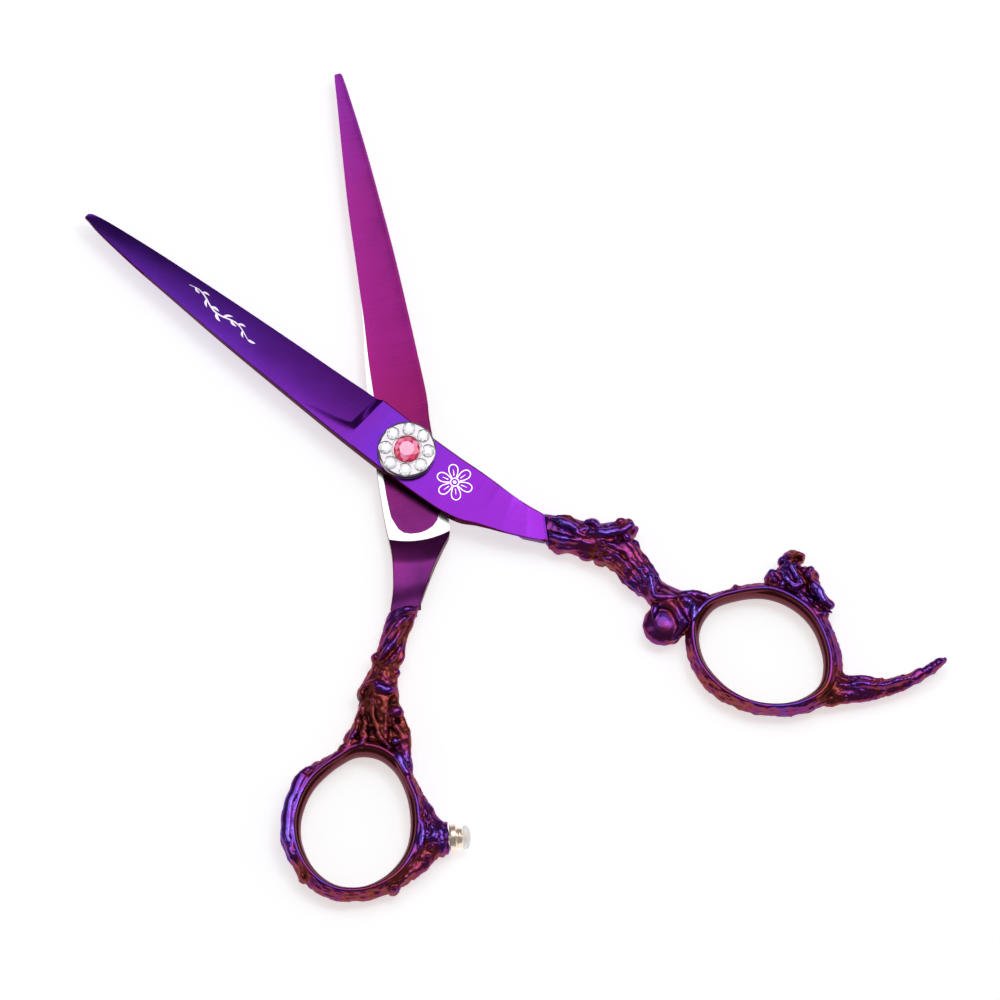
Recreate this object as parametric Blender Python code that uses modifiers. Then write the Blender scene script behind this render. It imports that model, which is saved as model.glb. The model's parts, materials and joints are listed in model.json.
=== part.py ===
"""Hairdressing shears with cast dragon handles and a jewelled tension dial.

Lengths are in millimetres and are scaled to metres when a mesh is made.
Origin: on the pivot axis, at the flat back of the pivot bolt.  +Z runs up through the dial,
+X runs along the finger blade from its tip towards its ring.
The finger half is drawn where it lies.  The thumb half is drawn closed on the finger half and
its parent empty, on the pivot axis, swings it open by OPEN_ANGLE.
"""
import math
from collections import namedtuple

import bmesh
import bpy
from mathutils import Matrix, Vector

MM = 0.001

# Driving dimensions
OPEN_ANGLE = 42.0        # between the closed shears and the pose they are drawn in
HANDLE_DEPTH = 5.8       # both rings, measured along Z
HANDLE_MID = HANDLE_DEPTH / 2
BLADE_THICK = 2.3        # each blade at the pivot
TIP_THICK = 1.2
EDGE_THICK = 0.35        # land left at the cutting edge
GAP = 0.2                # between pieces that touch
SLIDE_GAP = 0.3          # between the two blades
ROUND_STEPS = 48

# Levels along Z
HEAD_TOP = 1.0
THUMB_BOTTOM = HEAD_TOP + GAP
THUMB_TOP = THUMB_BOTTOM + BLADE_THICK
FINGER_BOTTOM = THUMB_TOP + SLIDE_GAP
FINGER_TOP = FINGER_BOTTOM + BLADE_THICK
DIAL_BOTTOM = FINGER_TOP + GAP
DIAL_TOP = DIAL_BOTTOM + 1.2
STONE_SEAT = DIAL_TOP - 0.35
BOLT_TOP = STONE_SEAT - 0.3
RECESS_DEPTH = 0.45      # in the thumb blade, for the slide washer
CUTTER_TOP = 9.0         # above everything, for cutters that run right through

# Pivot stack radii
SHAFT_R = 2.25
RUNNING_FIT = 0.08
HEAD_R = 4.5
BUSH_R = 3.22
WASHER_R = 4.3
DIAL_R = 5.05
SPANNER_HOLE_X = 2.9
SPANNER_HOLE_R, SPANNER_HOLE_DEPTH = 0.55, 0.6
STONE_FIT = 0.04
CENTRE_STONE_R = 2.3
CLEAR_STONE_R = 1.1
CLEAR_STONE_COUNT = 8
CLEAR_STONE_CIRCLE = 3.68
CLEAR_STONE_START = 29.5

# Blades: stations along X with the Y of both edges
BLADE_TIP = -69.9
GRIND_END = -9.4         # where the finger blade's ground face stops short of the pivot
STEP_START, STEP_END, STEP_RISE = 14.8, 20.0, 1.2    # thumb shank's slope out of the sliding plane
SHANK_THICK = 4.3
FINGER_BLADE_EDGES = (
    (BLADE_TIP, 5.05, 4.0), (-69.0, 5.45, 3.8), (-66.0, 5.75, 3.0), (-58.0, 6.0, 1.55), (-50.0, 6.05, 0.45),
    (-38.0, 6.0, -1.2), (-26.0, 5.8, -2.6), (-18.0, 5.6, -3.5), (GRIND_END, 5.45, -4.4))
FINGER_SHANK_EDGES = (   # (x, high Y, low Y, drop of the top face, lean of the section)
    (-8.6, 5.1, -4.5, 0.0, 0.0), (0.0, 4.75, -5.15, 0.0, 0.0), (8.0, 4.35, -5.5, 0.0, 0.0),
    (11.5, 4.3, -5.4, 0.0, 0.0), (14.4, 4.2, -4.95, 0.0, 0.0), (17.0, 4.05, -3.95, 0.05, 0.0),
    (20.4, 3.9, -2.6, 0.2, -0.25), (24.0, 3.95, -1.0, 0.45, -0.6), (26.9, 4.2, 0.5, 0.75, -0.9))
FINGER_LOWER_SHANK = (
    (18.4, 2.2), (18.4, 3.7), (21.4, 3.75), (25.4, 4.05), (28.5, 0.6), (24.7, -0.95), (22.5, -1.0),
    (20.4, 0.6))
THUMB_BLADE_EDGES = (
    (BLADE_TIP, 5.15, 4.1), (-69.0, 5.45, 3.9), (-64.0, 5.8, 3.2), (-56.0, 6.2, 2.05), (-46.0, 6.4, 0.7),
    (-36.0, 6.5, -0.35), (-26.0, 6.35, -1.5), (-18.0, 6.15, -3.0), (-10.0, 5.9, -4.3))
THUMB_SHANK_EDGES = (
    (-5.0, 5.3, -4.9), (2.0, 4.9, -5.7), (10.0, 4.5, -6.4), (STEP_START, 4.0, -6.55), (17.4, 2.2, -6.8),
    (STEP_END, 0.2, -7.3), (23.2, -2.0, -8.1), (26.3, -4.0, -9.3))
SPINE_FLAT = 0.3         # share of a blade's width left flat along its spine
CHAMFER = 0.15
GRIND_STEPS = 7
SLOPE_RELIEF = ((14.9, -8.0), (14.9, 4.5), (16.4, 3.4), (STEP_END, 0.65), (STEP_END, -8.0))
SHANK_RELIEF = ((19.8, -8.0), (19.8, 0.8), (20.4, 0.35), (22.6, -1.2), (25.0, -8.0))
RELIEF_FLOOR = 2.0
LOWER_SHANK_OVERLAP = 0.6        # how far the thickened shank reaches into the blade it is joined to
FINGER_JOINT = (26.9, 2.55)      # where the cast handle is butt welded to the blade's shank
FINGER_JOINT_TURN = 41.9
THUMB_JOINT = (26.3, -6.6)
END_BLOCK_SIZE = 20.0            # of the block that cuts a handle square at its joint

# Handles: (x, y, half width, half depth) along each limb
# Rings: (x, y, width of the wall there) around each hole
FINGER_RING = (
    (59.4, 2.2, 2.4), (59.0, 7.1, 2.4), (61.5, 10.8, 2.2), (64.5, 13.3, 2.6), (67.7, 14.5, 2.9),
    (71.2, 14.7, 3.1), (74.5, 13.9, 3.2), (77.5, 12.1, 3.2), (80.2, 9.4, 3.3), (81.7, 5.9, 3.2),
    (80.6, 2.3, 2.6), (78.2, -0.5, 2.0), (75.1, -2.4, 1.85), (71.7, -3.2, 2.1), (67.8, -3.1, 2.5),
    (63.0, -1.5, 2.55))
THUMB_RING = (
    (51.1, -24.2, 2.5), (52.4, -26.9, 3.1), (54.1, -29.4, 3.4), (56.5, -31.5, 3.6), (59.8, -33.2, 3.3),
    (63.8, -33.8, 3.05), (68.3, -32.8, 2.9), (71.8, -30.0, 2.5), (73.2, -26.0, 2.3), (72.6, -22.2, 2.8),
    (70.9, -19.1, 3.4), (68.4, -16.7, 3.4), (65.1, -15.2, 3.1), (61.5, -14.5, 2.8), (58.0, -14.5, 2.5),
    (54.4, -15.4, 2.4), (51.5, -17.6, 2.4), (50.3, -20.9, 2.4))
FINGER_NECK = (
    (24.5, 1.2, 2.9, 2.4), (27.5, 2.6, 3.05, 2.6), (31.5, 4.2, 3.2, 2.85), (36.0, 5.8, 3.1, 2.9),
    (40.5, 6.3, 2.9, 2.9), (42.6, 6.0, 2.75, 2.8), (44.5, 5.4, 2.45, 2.6), (48.5, 4.1, 2.3, 2.5),
    (52.5, 3.8, 2.8, 2.8), (55.4, 4.4, 3.8, 2.8), (56.6, 4.8, 4.2, 2.6))
FINGER_KNOB = ((34.0, 7.1, 1.1, 1.6), (36.6, 9.2, 1.4, 1.9), (38.7, 11.2, 1.65, 1.7))
FINGER_TANG = (
    (83.0, 6.5, 3.6, 2.3), (85.75, 8.0, 2.8, 2.2), (88.95, 10.1, 1.97, 2.0), (91.75, 12.55, 1.55, 1.8),
    (93.9, 15.4, 1.3, 1.6), (95.4, 18.15, 0.95, 1.2), (96.4, 20.6, 0.75, 0.9), (96.9, 22.2, 0.5, 0.6))
PEARL = (53.4, -0.2, 3.6, 3.6, 2.85)
HEAD_LUMPS = (
    (67.6, 19.0, 3.8, 2.5, 2.6, -6.0), (65.2, 21.9, 1.8, 2.1, 1.9, 20.0), (69.1, 21.3, 1.9, 1.5, 1.8, 0.0),
    (64.8, 17.4, 2.0, 1.6, 2.1, 40.0))
HEAD_JAWS = (
    ((69.0, 20.3, 1.2, 1.7), (72.5, 19.4, 1.0, 1.5), (75.4, 18.9, 0.8, 1.1)),
    ((69.0, 17.2, 1.2, 1.7), (72.5, 17.0, 1.0, 1.6), (75.6, 16.9, 0.9, 1.2)))
THUMB_NECK = (
    (24.4, -5.7, 2.4, 2.1), (28.0, -7.8, 2.4, 2.3), (32.0, -10.4, 2.3, 2.4), (35.5, -12.3, 2.3, 2.5),
    (39.0, -14.2, 3.1, 2.8), (42.5, -15.2, 3.6, 2.9), (45.6, -16.2, 4.3, 2.8), (48.3, -17.6, 4.7, 2.7))
THUMB_LUMPS = (
    (39.3, -16.6, 1.5, 1.5, 2.2, 0.0), (44.2, -13.4, 2.1, 2.1, 2.5, 0.0), (48.2, -13.5, 3.4, 2.0, 2.5, 0.0),
    (53.0, -13.5, 3.8, 1.5, 2.4, 0.0), (47.0, -20.7, 2.3, 1.8, 2.4, -50.0))
THUMB_SHOULDER = (
    (58.5, -13.2, 1.2, 1.9), (62.0, -12.6, 1.9, 2.2), (65.6, -12.0, 2.6, 2.5), (68.4, -12.4, 2.9, 2.6),
    (70.8, -14.6, 2.0, 2.4), (72.6, -17.2, 1.5, 2.1))

# Bumper, along its own axis from the boss face
BUMPER_ROOT = (68.1, -9.2)
BUMPER_LEAN = 11.0       # degrees from +Y towards +X, with the shears closed
BOSS_R = 2.9
BUMPER_R = 2.4
DOME_R = 2.1
POST_R = 0.8
STUD_R, STUD_DEPTH = 0.9, 2.6

Group = namedtuple("Group", "collection parent")


def clear_scene():
    for obj in list(bpy.data.objects):
        bpy.data.objects.remove(obj, do_unlink=True)


def new_collection(name):
    collection = bpy.data.collections.new(name)
    bpy.context.scene.collection.children.link(collection)
    return collection


def make_material(name, colour, metallic, roughness, transmission=0.0):
    material = bpy.data.materials.new(name)
    material.use_nodes = True
    shader = material.node_tree.nodes["Principled BSDF"]
    shader.inputs["Base Color"].default_value = (*colour, 1.0)
    shader.inputs["Metallic"].default_value = metallic
    shader.inputs["Roughness"].default_value = roughness
    shader.inputs["Transmission Weight"].default_value = transmission
    material.diffuse_color = (*colour, 1.0)
    return material


def place_object(name, mesh, group):
    obj = bpy.data.objects.new(name, mesh)
    group.collection.objects.link(obj)
    obj.parent = group.parent
    return obj


def add_object(name, bm, group):
    """Turns a bmesh drawn in millimetres into a smooth-shaded object in metres."""
    bmesh.ops.scale(bm, vec=(MM, MM, MM), verts=bm.verts)
    bmesh.ops.recalc_face_normals(bm, faces=bm.faces)
    mesh = bpy.data.meshes.new(name)
    bm.to_mesh(mesh)
    bm.free()
    mesh.shade_smooth()
    mesh.set_sharp_from_angle(angle=math.radians(35))
    return place_object(name, mesh, group)


def in_metres(place):
    """The same placing matrix with its shift in metres."""
    scaled = place.copy()
    scaled.translation = place.translation * MM
    return scaled


def bridge(bm, near, far):
    count = len(near)
    for i in range(count):
        j = (i + 1) % count
        bm.faces.new((near[i], near[j], far[j], far[i]))


def loft_into(bm, rings):
    """Skins closed rings of points one after another and caps both ends."""
    rows = [[bm.verts.new(point) for point in ring] for ring in rings]
    for near, far in zip(rows, rows[1:]):
        bridge(bm, near, far)
    bm.faces.new(rows[0])
    bm.faces.new(rows[-1])


def oval(x, y, along, width, depth, sides):
    across = Vector((-along.y, along.x, 0))
    ring = []
    for k in range(sides):
        turn = 2 * math.pi * k / sides
        middle = Vector((x, y, HANDLE_MID + depth * math.sin(turn)))
        ring.append(middle + across * (width * math.cos(turn)))
    return ring


def round_end(station, outward):
    """Shrinking stations that close a limb with a low dome, from the limb outwards."""
    x, y, width, depth = station
    bulge = min(width, 1.8) * 0.6
    rings = []
    for turn in (0.5, 1.0, 1.35):
        spot = Vector((x, y, 0)) + outward * (bulge * math.sin(turn))
        shrink = math.cos(turn)
        rings.append((spot.x, spot.y, width * shrink, depth * shrink))
    return rings


def limb(name, stations, group, sides=16):
    """A tube of changing oval section along stations (x, y, half width, half depth)."""
    directions = []
    for i in range(len(stations)):
        before = stations[max(i - 1, 0)]
        after = stations[min(i + 1, len(stations) - 1)]
        directions.append(Vector((after[0] - before[0], after[1] - before[1], 0)).normalized())
    first, last = directions[0], directions[-1]
    rings = [oval(x, y, first, w, d, sides) for x, y, w, d in reversed(round_end(stations[0], -first))]
    rings += [oval(x, y, along, w, d, sides) for (x, y, w, d), along in zip(stations, directions)]
    rings += [oval(x, y, last, w, d, sides) for x, y, w, d in round_end(stations[-1], last)]
    bm = bmesh.new()
    loft_into(bm, rings)
    return add_object(name, bm, group)


def ellipsoid(name, group, x, y, rx, ry, rz, turn=0.0):
    bm = bmesh.new()
    bmesh.ops.create_uvsphere(bm, u_segments=20, v_segments=12, radius=1.0)
    place = Matrix.Translation((x, y, HANDLE_MID)) @ Matrix.Rotation(math.radians(turn), 4, "Z")
    bmesh.ops.transform(bm, matrix=place @ Matrix.Diagonal((rx, ry, rz, 1)), verts=bm.verts)
    return add_object(name, bm, group)


def cylinder(name, group, radius, low, high, sides=ROUND_STEPS, place=Matrix()):
    bm = bmesh.new()
    bmesh.ops.create_cone(bm, cap_ends=True, segments=sides, radius1=radius, radius2=radius, depth=high - low)
    rise = Matrix.Translation((0, 0, (low + high) / 2))
    bmesh.ops.transform(bm, matrix=place @ rise, verts=bm.verts)
    return add_object(name, bm, group)


def prism(name, outline, low, tops, group):
    """A flat outline raised from the level low to one level for each of its corners."""
    bottom = [(x, y, low) for x, y in outline]
    top = [(x, y, level) for (x, y), level in zip(outline, tops)]
    bm = bmesh.new()
    loft_into(bm, [bottom, top])
    return add_object(name, bm, group)


def turned(name, profile, group, closed=False, steps=ROUND_STEPS, place=Matrix()):
    """A profile of (radius, height) in millimetres, turned about Z with a Screw modifier."""
    points = [(radius * MM, 0, height * MM) for radius, height in profile]
    edges = [(i, i + 1) for i in range(len(points) - 1)]
    if closed:
        edges.append((len(points) - 1, 0))
    mesh = bpy.data.meshes.new(name)
    mesh.from_pydata(points, edges, [])
    obj = place_object(name, mesh, group)
    obj.matrix_basis = in_metres(place)
    screw = obj.modifiers.new("Turn", "SCREW")
    screw.steps = steps
    screw.render_steps = steps
    screw.use_merge_vertices = True
    screw.merge_threshold = 0.000001
    screw.use_smooth_shade = True
    return obj


def combine(obj, helper, operation):
    helper.hide_render = True
    helper.display_type = "WIRE"
    boolean = obj.modifiers.new(helper.name, "BOOLEAN")
    boolean.operation = operation
    boolean.solver = "EXACT"
    boolean.object = helper


def blade_ring(x, edge, spine, inner, outer):
    """Section of a ground blade: a flat inner face, and a convex outer one down to the cutting edge."""
    outward = 1 if outer > inner else -1
    edge_level = inner + outward * EDGE_THICK
    flat_end = spine + (edge - spine) * SPINE_FLAT
    ring = [(x, edge, inner), (x, spine, inner), (x, spine, outer - outward * CHAMFER)]
    ring.append((x, spine + (edge - spine) * 0.04, outer))
    for i in range(GRIND_STEPS + 1):
        t = i / GRIND_STEPS
        ring.append((x, flat_end + (edge - flat_end) * t, outer + (edge_level - outer) * t ** 1.7))
    return ring


def block_ring(x, edge, spine, inner, outer, lean=0.0):
    """Full-thickness section with the same number of points as blade_ring."""
    outward = 1 if outer > inner else -1
    middle = (edge + spine) / 2
    ring = [(edge, inner), (spine, inner), (spine, outer - outward * CHAMFER)]
    ring.append((spine + (edge - spine) * 0.03, outer))
    for i in range(GRIND_STEPS):
        ring.append((spine + (edge - spine) * (0.1 + 0.87 * i / (GRIND_STEPS - 1)), outer))
    ring.append((edge, outer - outward * CHAMFER))
    return [(x + lean * (y - middle), y, z) for y, z in ring]


def blade_thickness(x):
    from_tip = (x - BLADE_TIP) / (GRIND_END - BLADE_TIP)
    return TIP_THICK + (BLADE_THICK - TIP_THICK) * min(1.0, from_tip) ** 0.8


def step_level(x):
    """Top of the thumb half, which climbs out of the sliding plane behind the pivot."""
    rise = (x - STEP_START) / (STEP_END - STEP_START)
    return THUMB_TOP + STEP_RISE * max(0.0, min(1.0, rise))


def make_finger_blade(parts, helpers, material):
    rings = []
    for x, high, low in FINGER_BLADE_EDGES:
        rings.append(blade_ring(x, high, low, FINGER_BOTTOM, FINGER_BOTTOM + blade_thickness(x)))
    for x, high, low, drop, lean in FINGER_SHANK_EDGES:
        rings.append(block_ring(x, high, low, FINGER_BOTTOM, FINGER_TOP - drop, lean))
    bm = bmesh.new()
    loft_into(bm, rings)
    blade = add_object("finger_blade", bm, parts)
    for name, outline in (("slope_relief", SLOPE_RELIEF), ("shank_relief", SHANK_RELIEF)):
        ceiling = [step_level(x) + SLIDE_GAP for x, _ in outline]
        if outline is SHANK_RELIEF:
            ceiling = [max(ceiling)] * len(outline)
        combine(blade, prism(name, outline, RELIEF_FLOOR, ceiling, helpers), "DIFFERENCE")
    joined = [FINGER_BOTTOM + LOWER_SHANK_OVERLAP] * len(FINGER_LOWER_SHANK)
    lower = prism("lower_shank", FINGER_LOWER_SHANK, FINGER_TOP - SHANK_THICK, joined, helpers)
    combine(blade, lower, "UNION")
    combine(blade, cylinder("finger_bore", helpers, BUSH_R + RUNNING_FIT, 0, CUTTER_TOP), "DIFFERENCE")
    blade.data.materials.append(material)


def make_thumb_blade(parts, helpers, material):
    rings = []
    for x, high, low in THUMB_BLADE_EDGES:
        rings.append(blade_ring(x, low, high, THUMB_TOP, THUMB_TOP - blade_thickness(x)))
    for x, high, low in THUMB_SHANK_EDGES:
        rings.append(block_ring(x, low, high, step_level(x), THUMB_BOTTOM))
    bm = bmesh.new()
    loft_into(bm, rings)
    blade = add_object("thumb_blade", bm, parts)
    combine(blade, cylinder("thumb_bore", helpers, SHAFT_R + RUNNING_FIT, 0, CUTTER_TOP), "DIFFERENCE")
    recess = cylinder("washer_recess", helpers, WASHER_R + GAP, THUMB_TOP - RECESS_DEPTH, CUTTER_TOP)
    combine(blade, recess, "DIFFERENCE")
    blade.data.materials.append(material)


def smooth_loop(rows, per_span=4):
    """Points of a closed Catmull-Rom curve, each with its outward direction and the wall width there."""
    count = len(rows)
    loop = []
    for i in range(count):
        a, b, c, d = (Vector(rows[(i + k) % count]) for k in (-1, 0, 1, 2))
        for k in range(per_span):
            t = k / per_span
            cubic = 2 * b + (c - a) * t + (2 * a - 5 * b + 4 * c - d) * t ** 2
            loop.append((cubic + (3 * b - a - 3 * c + d) * t ** 3) / 2)
    middle = sum((point.xy for point in loop), Vector((0, 0))) / len(loop)
    placed = []
    for i, point in enumerate(loop):
        along = (loop[(i + 1) % len(loop)].xy - loop[i - 1].xy).normalized()
        outward = Vector((along.y, -along.x))
        if outward.dot(point.xy - middle) < 0:
            outward.negate()
        placed.append((point.xy, outward, point.z))
    return placed


def ring_body(name, hole, group):
    """A finger ring around a hole, with a rounded section that widens with its wall."""
    half = HANDLE_DEPTH / 2
    section = (   # (share of the wall, height over the middle)
        (0.0, -0.7), (0.12, 0.7 - half), (0.4, -half), (0.7, 0.2 - half), (1.0, -0.7), (1.0, 0.7),
        (0.7, half - 0.2), (0.4, half), (0.12, half - 0.7), (0.0, 0.7))
    bm = bmesh.new()
    rows = []
    loop = smooth_loop(hole)
    for share, level in section:
        spots = [spot + outward * (share * wall) for spot, outward, wall in loop]
        rows.append([bm.verts.new((spot.x, spot.y, HANDLE_MID + level)) for spot in spots])
    for near, far in zip(rows, rows[1:] + rows[:1]):
        bridge(bm, near, far)
    return add_object(name, bm, group)


def end_block(name, group, corner, turn):
    """A block whose face stands GAP past corner, on the blade side of a handle's butt joint."""
    bm = bmesh.new()
    bmesh.ops.create_cube(bm, size=END_BLOCK_SIZE)
    place = Matrix.Translation((*corner, HANDLE_MID)) @ Matrix.Rotation(math.radians(turn), 4, "Z")
    shift = Matrix.Translation((GAP - END_BLOCK_SIZE / 2, 0, 0))
    bmesh.ops.transform(bm, matrix=place @ shift, verts=bm.verts)
    return add_object(name, bm, group)


def make_finger_handle(parts, helpers, material):
    handle = ring_body("finger_handle", FINGER_RING, parts)
    combine(handle, limb("finger_neck", FINGER_NECK, helpers), "UNION")
    combine(handle, limb("neck_knob", FINGER_KNOB, helpers, 12), "UNION")
    combine(handle, limb("tang_limb", FINGER_TANG, helpers), "UNION")
    combine(handle, ellipsoid("pearl", helpers, *PEARL), "UNION")
    for i, lump in enumerate(HEAD_LUMPS):
        combine(handle, ellipsoid(f"head_lump_{i}", helpers, *lump), "UNION")
    for i, jaw in enumerate(HEAD_JAWS):
        combine(handle, limb(f"jaw_{i}", jaw, helpers, 12), "UNION")
    combine(handle, end_block("finger_end", helpers, FINGER_JOINT, FINGER_JOINT_TURN), "DIFFERENCE")
    handle.data.materials.append(material)


def make_thumb_handle(parts, helpers, material):
    handle = ring_body("thumb_handle", THUMB_RING, parts)
    combine(handle, limb("thumb_neck", THUMB_NECK, helpers), "UNION")
    combine(handle, limb("shoulder", THUMB_SHOULDER, helpers), "UNION")
    for i, lump in enumerate(THUMB_LUMPS):
        combine(handle, ellipsoid(f"thumb_lump_{i}", helpers, *lump), "UNION")
    combine(handle, cylinder("boss", helpers, BOSS_R, -4.0, 0.0, 32, bumper_place()), "UNION")
    combine(handle, end_block("thumb_end", helpers, THUMB_JOINT, 0.0), "DIFFERENCE")
    stud_hole = cylinder(
        "stud_hole", helpers, STUD_R + RUNNING_FIT, -STUD_DEPTH - GAP, 1.0, 32, bumper_place())
    combine(handle, stud_hole, "DIFFERENCE")
    handle.data.materials.append(material)


def bumper_place():
    """Frame whose Z runs along the bumper, from the boss face outwards."""
    lean = Matrix.Rotation(math.radians(-BUMPER_LEAN), 4, "Z")
    upright = Matrix.Rotation(math.radians(-90), 4, "X")
    return Matrix.Translation((*BUMPER_ROOT, HANDLE_MID)) @ lean @ upright


def make_bumper(parts, metal, clear):
    base_profile = (
        (0, 3.0), (POST_R, 3.0), (POST_R, 2.3), (1.9, 2.3), (1.9, 1.3), (BUMPER_R, 1.2), (BUMPER_R, 0.35),
        (BUMPER_R - 0.2, 0.15), (STUD_R, 0.15), (STUD_R, -STUD_DEPTH), (0, -STUD_DEPTH))
    base = turned("bumper_base", base_profile, parts, steps=32, place=bumper_place())
    base.data.materials.append(metal)
    dome_profile = []
    for i in range(7):
        turn = math.pi / 2 * (1 - i / 6)
        dome_profile.append((DOME_R * math.cos(turn), 2.95 + 1.0 * math.sin(turn)))
    dome_profile[0] = (0, 3.95)
    socket = POST_R + RUNNING_FIT
    dome_profile += [(DOME_R, 2.45), (socket, 2.45), (socket, 3.1), (0, 3.1)]
    dome = turned("bumper_dome", dome_profile, parts, steps=32, place=bumper_place())
    dome.data.materials.append(clear)


def make_bolt(parts, helpers, material):
    profile = (
        (0, BOLT_TOP), (SHAFT_R - 0.2, BOLT_TOP), (SHAFT_R, BOLT_TOP - 0.2), (SHAFT_R, HEAD_TOP),
        (HEAD_R - 0.3, HEAD_TOP), (HEAD_R, HEAD_TOP - 0.3), (HEAD_R, 0.2), (HEAD_R - 0.2, 0), (0, 0))
    bolt = turned("pivot_bolt", profile, parts)
    for i, x in enumerate((-SPANNER_HOLE_X, SPANNER_HOLE_X)):
        place = Matrix.Translation((x, 0, 0))
        hole = cylinder(
            f"spanner_hole_{i}", helpers, SPANNER_HOLE_R, -1.0, SPANNER_HOLE_DEPTH, 20, place)
        combine(bolt, hole, "DIFFERENCE")
    bolt.data.materials.append(material)


def make_washers(thumb_parts, finger_parts, plastic, metal):
    bore = SHAFT_R + RUNNING_FIT
    low, high = THUMB_TOP - RECESS_DEPTH + 0.15, FINGER_BOTTOM - 0.15
    slide_profile = ((bore, high), (WASHER_R, high), (WASHER_R, low), (bore, low))
    turned("slide_washer", slide_profile, thumb_parts, closed=True).data.materials.append(plastic)
    low, high = FINGER_BOTTOM + 0.05, FINGER_TOP - 0.05
    bush_profile = ((bore, high), (BUSH_R, high), (BUSH_R, low), (bore, low))
    turned("pivot_bush", bush_profile, finger_parts, closed=True).data.materials.append(plastic)
    low, high = FINGER_TOP + 0.12, FINGER_TOP + 0.27
    spring_profile = ((2.6, high + 0.18), (3.9, high), (3.9, low), (2.6, low + 0.18))
    turned("spring_washer", spring_profile, thumb_parts, closed=True).data.materials.append(metal)


def make_dial(parts, helpers, material):
    bore = SHAFT_R + RUNNING_FIT
    seat = CENTRE_STONE_R + STONE_FIT
    ceiling = DIAL_BOTTOM + 0.4
    profile = (
        (0, STONE_SEAT), (seat, STONE_SEAT), (seat, DIAL_TOP + 0.08), (DIAL_R - 0.4, DIAL_TOP),
        (DIAL_R, DIAL_TOP - 0.35), (DIAL_R, DIAL_BOTTOM + 0.15), (DIAL_R - 0.15, DIAL_BOTTOM),
        (WASHER_R, DIAL_BOTTOM), (WASHER_R, ceiling), (bore, ceiling), (bore, BOLT_TOP + 0.1),
        (0, BOLT_TOP + 0.1))
    dial = turned("tension_dial", profile, parts)
    for i, (x, y) in enumerate(stone_spots()):
        place = Matrix.Translation((x, y, 0))
        seat_cutter = cylinder(
            f"stone_seat_{i}", helpers, CLEAR_STONE_R + STONE_FIT, STONE_SEAT, CUTTER_TOP, 20, place)
        combine(dial, seat_cutter, "DIFFERENCE")
    dial.data.materials.append(material)


def stone_spots():
    spots = []
    for i in range(CLEAR_STONE_COUNT):
        turn = math.radians(CLEAR_STONE_START + 360.0 * i / CLEAR_STONE_COUNT)
        spots.append((CLEAR_STONE_CIRCLE * math.cos(turn), CLEAR_STONE_CIRCLE * math.sin(turn)))
    return spots


def make_stones(parts, pink, clear):
    base = STONE_SEAT + 0.05
    top = base + 1.0
    profile = ((0, top), (1.3, top), (CENTRE_STONE_R, base + 0.5), (CENTRE_STONE_R - 0.05, base), (0, base))
    turned("centre_stone", profile, parts, steps=16).data.materials.append(pink)
    top = base + 0.75
    profile = ((0, top), (0.55, top), (CLEAR_STONE_R, base + 0.4), (CLEAR_STONE_R - 0.05, base), (0, base))
    for i, (x, y) in enumerate(stone_spots()):
        stone = turned(
            f"clear_stone_{i + 1}", profile, parts, steps=12, place=Matrix.Translation((x, y, 0)))
        stone.data.materials.append(clear)


def main():
    clear_scene()
    shears = new_collection("dragon_shears")
    cutters = new_collection("cutters")
    thumb_axis = bpy.data.objects.new("thumb_axis", None)
    shears.objects.link(thumb_axis)
    thumb_axis.rotation_euler.z = math.radians(-OPEN_ANGLE)
    finger = Group(shears, None)
    thumb = Group(shears, thumb_axis)
    finger_helpers = Group(cutters, None)
    thumb_helpers = Group(cutters, thumb_axis)

    violet = make_material("violet_blade", (0.16, 0.02, 0.62), 1.0, 0.22)
    magenta = make_material("magenta_blade", (0.32, 0.015, 0.22), 1.0, 0.25)
    cast = make_material("cast_handle", (0.2, 0.03, 0.25), 1.0, 0.35)
    silver = make_material("polished_steel", (0.82, 0.82, 0.84), 1.0, 0.15)
    nylon = make_material("white_nylon", (0.8, 0.8, 0.78), 0.0, 0.45)
    pink = make_material("pink_crystal", (0.9, 0.12, 0.3), 0.0, 0.05, 0.6)
    crystal = make_material("clear_crystal", (0.95, 0.95, 0.97), 0.0, 0.03, 0.8)
    rubber = make_material("clear_silicone", (0.85, 0.85, 0.83), 0.0, 0.2, 0.6)

    make_finger_blade(finger, finger_helpers, violet)
    make_finger_handle(finger, finger_helpers, cast)
    make_thumb_blade(thumb, thumb_helpers, magenta)
    make_thumb_handle(thumb, thumb_helpers, cast)
    make_bumper(thumb, silver, rubber)
    make_bolt(thumb, thumb_helpers, silver)
    make_washers(thumb, finger, nylon, silver)
    make_dial(finger, finger_helpers, silver)
    make_stones(finger, pink, crystal)


main()
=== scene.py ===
"""Looks of the dragon-handled hairdressing shears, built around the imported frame.

Lengths are in millimetres until a piece is finished.  The finger half is drawn where it lies.  The
thumb half is drawn closed on it, and swung open as the frame has it.  Longer tables are text, with a
comma between two rows of numbers.
"""
import json
import math

import bmesh
import bpy
import numpy as np
from mathutils import Matrix, Vector
from mathutils.bvhtree import BVHTree
from mathutils.kdtree import KDTree


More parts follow.
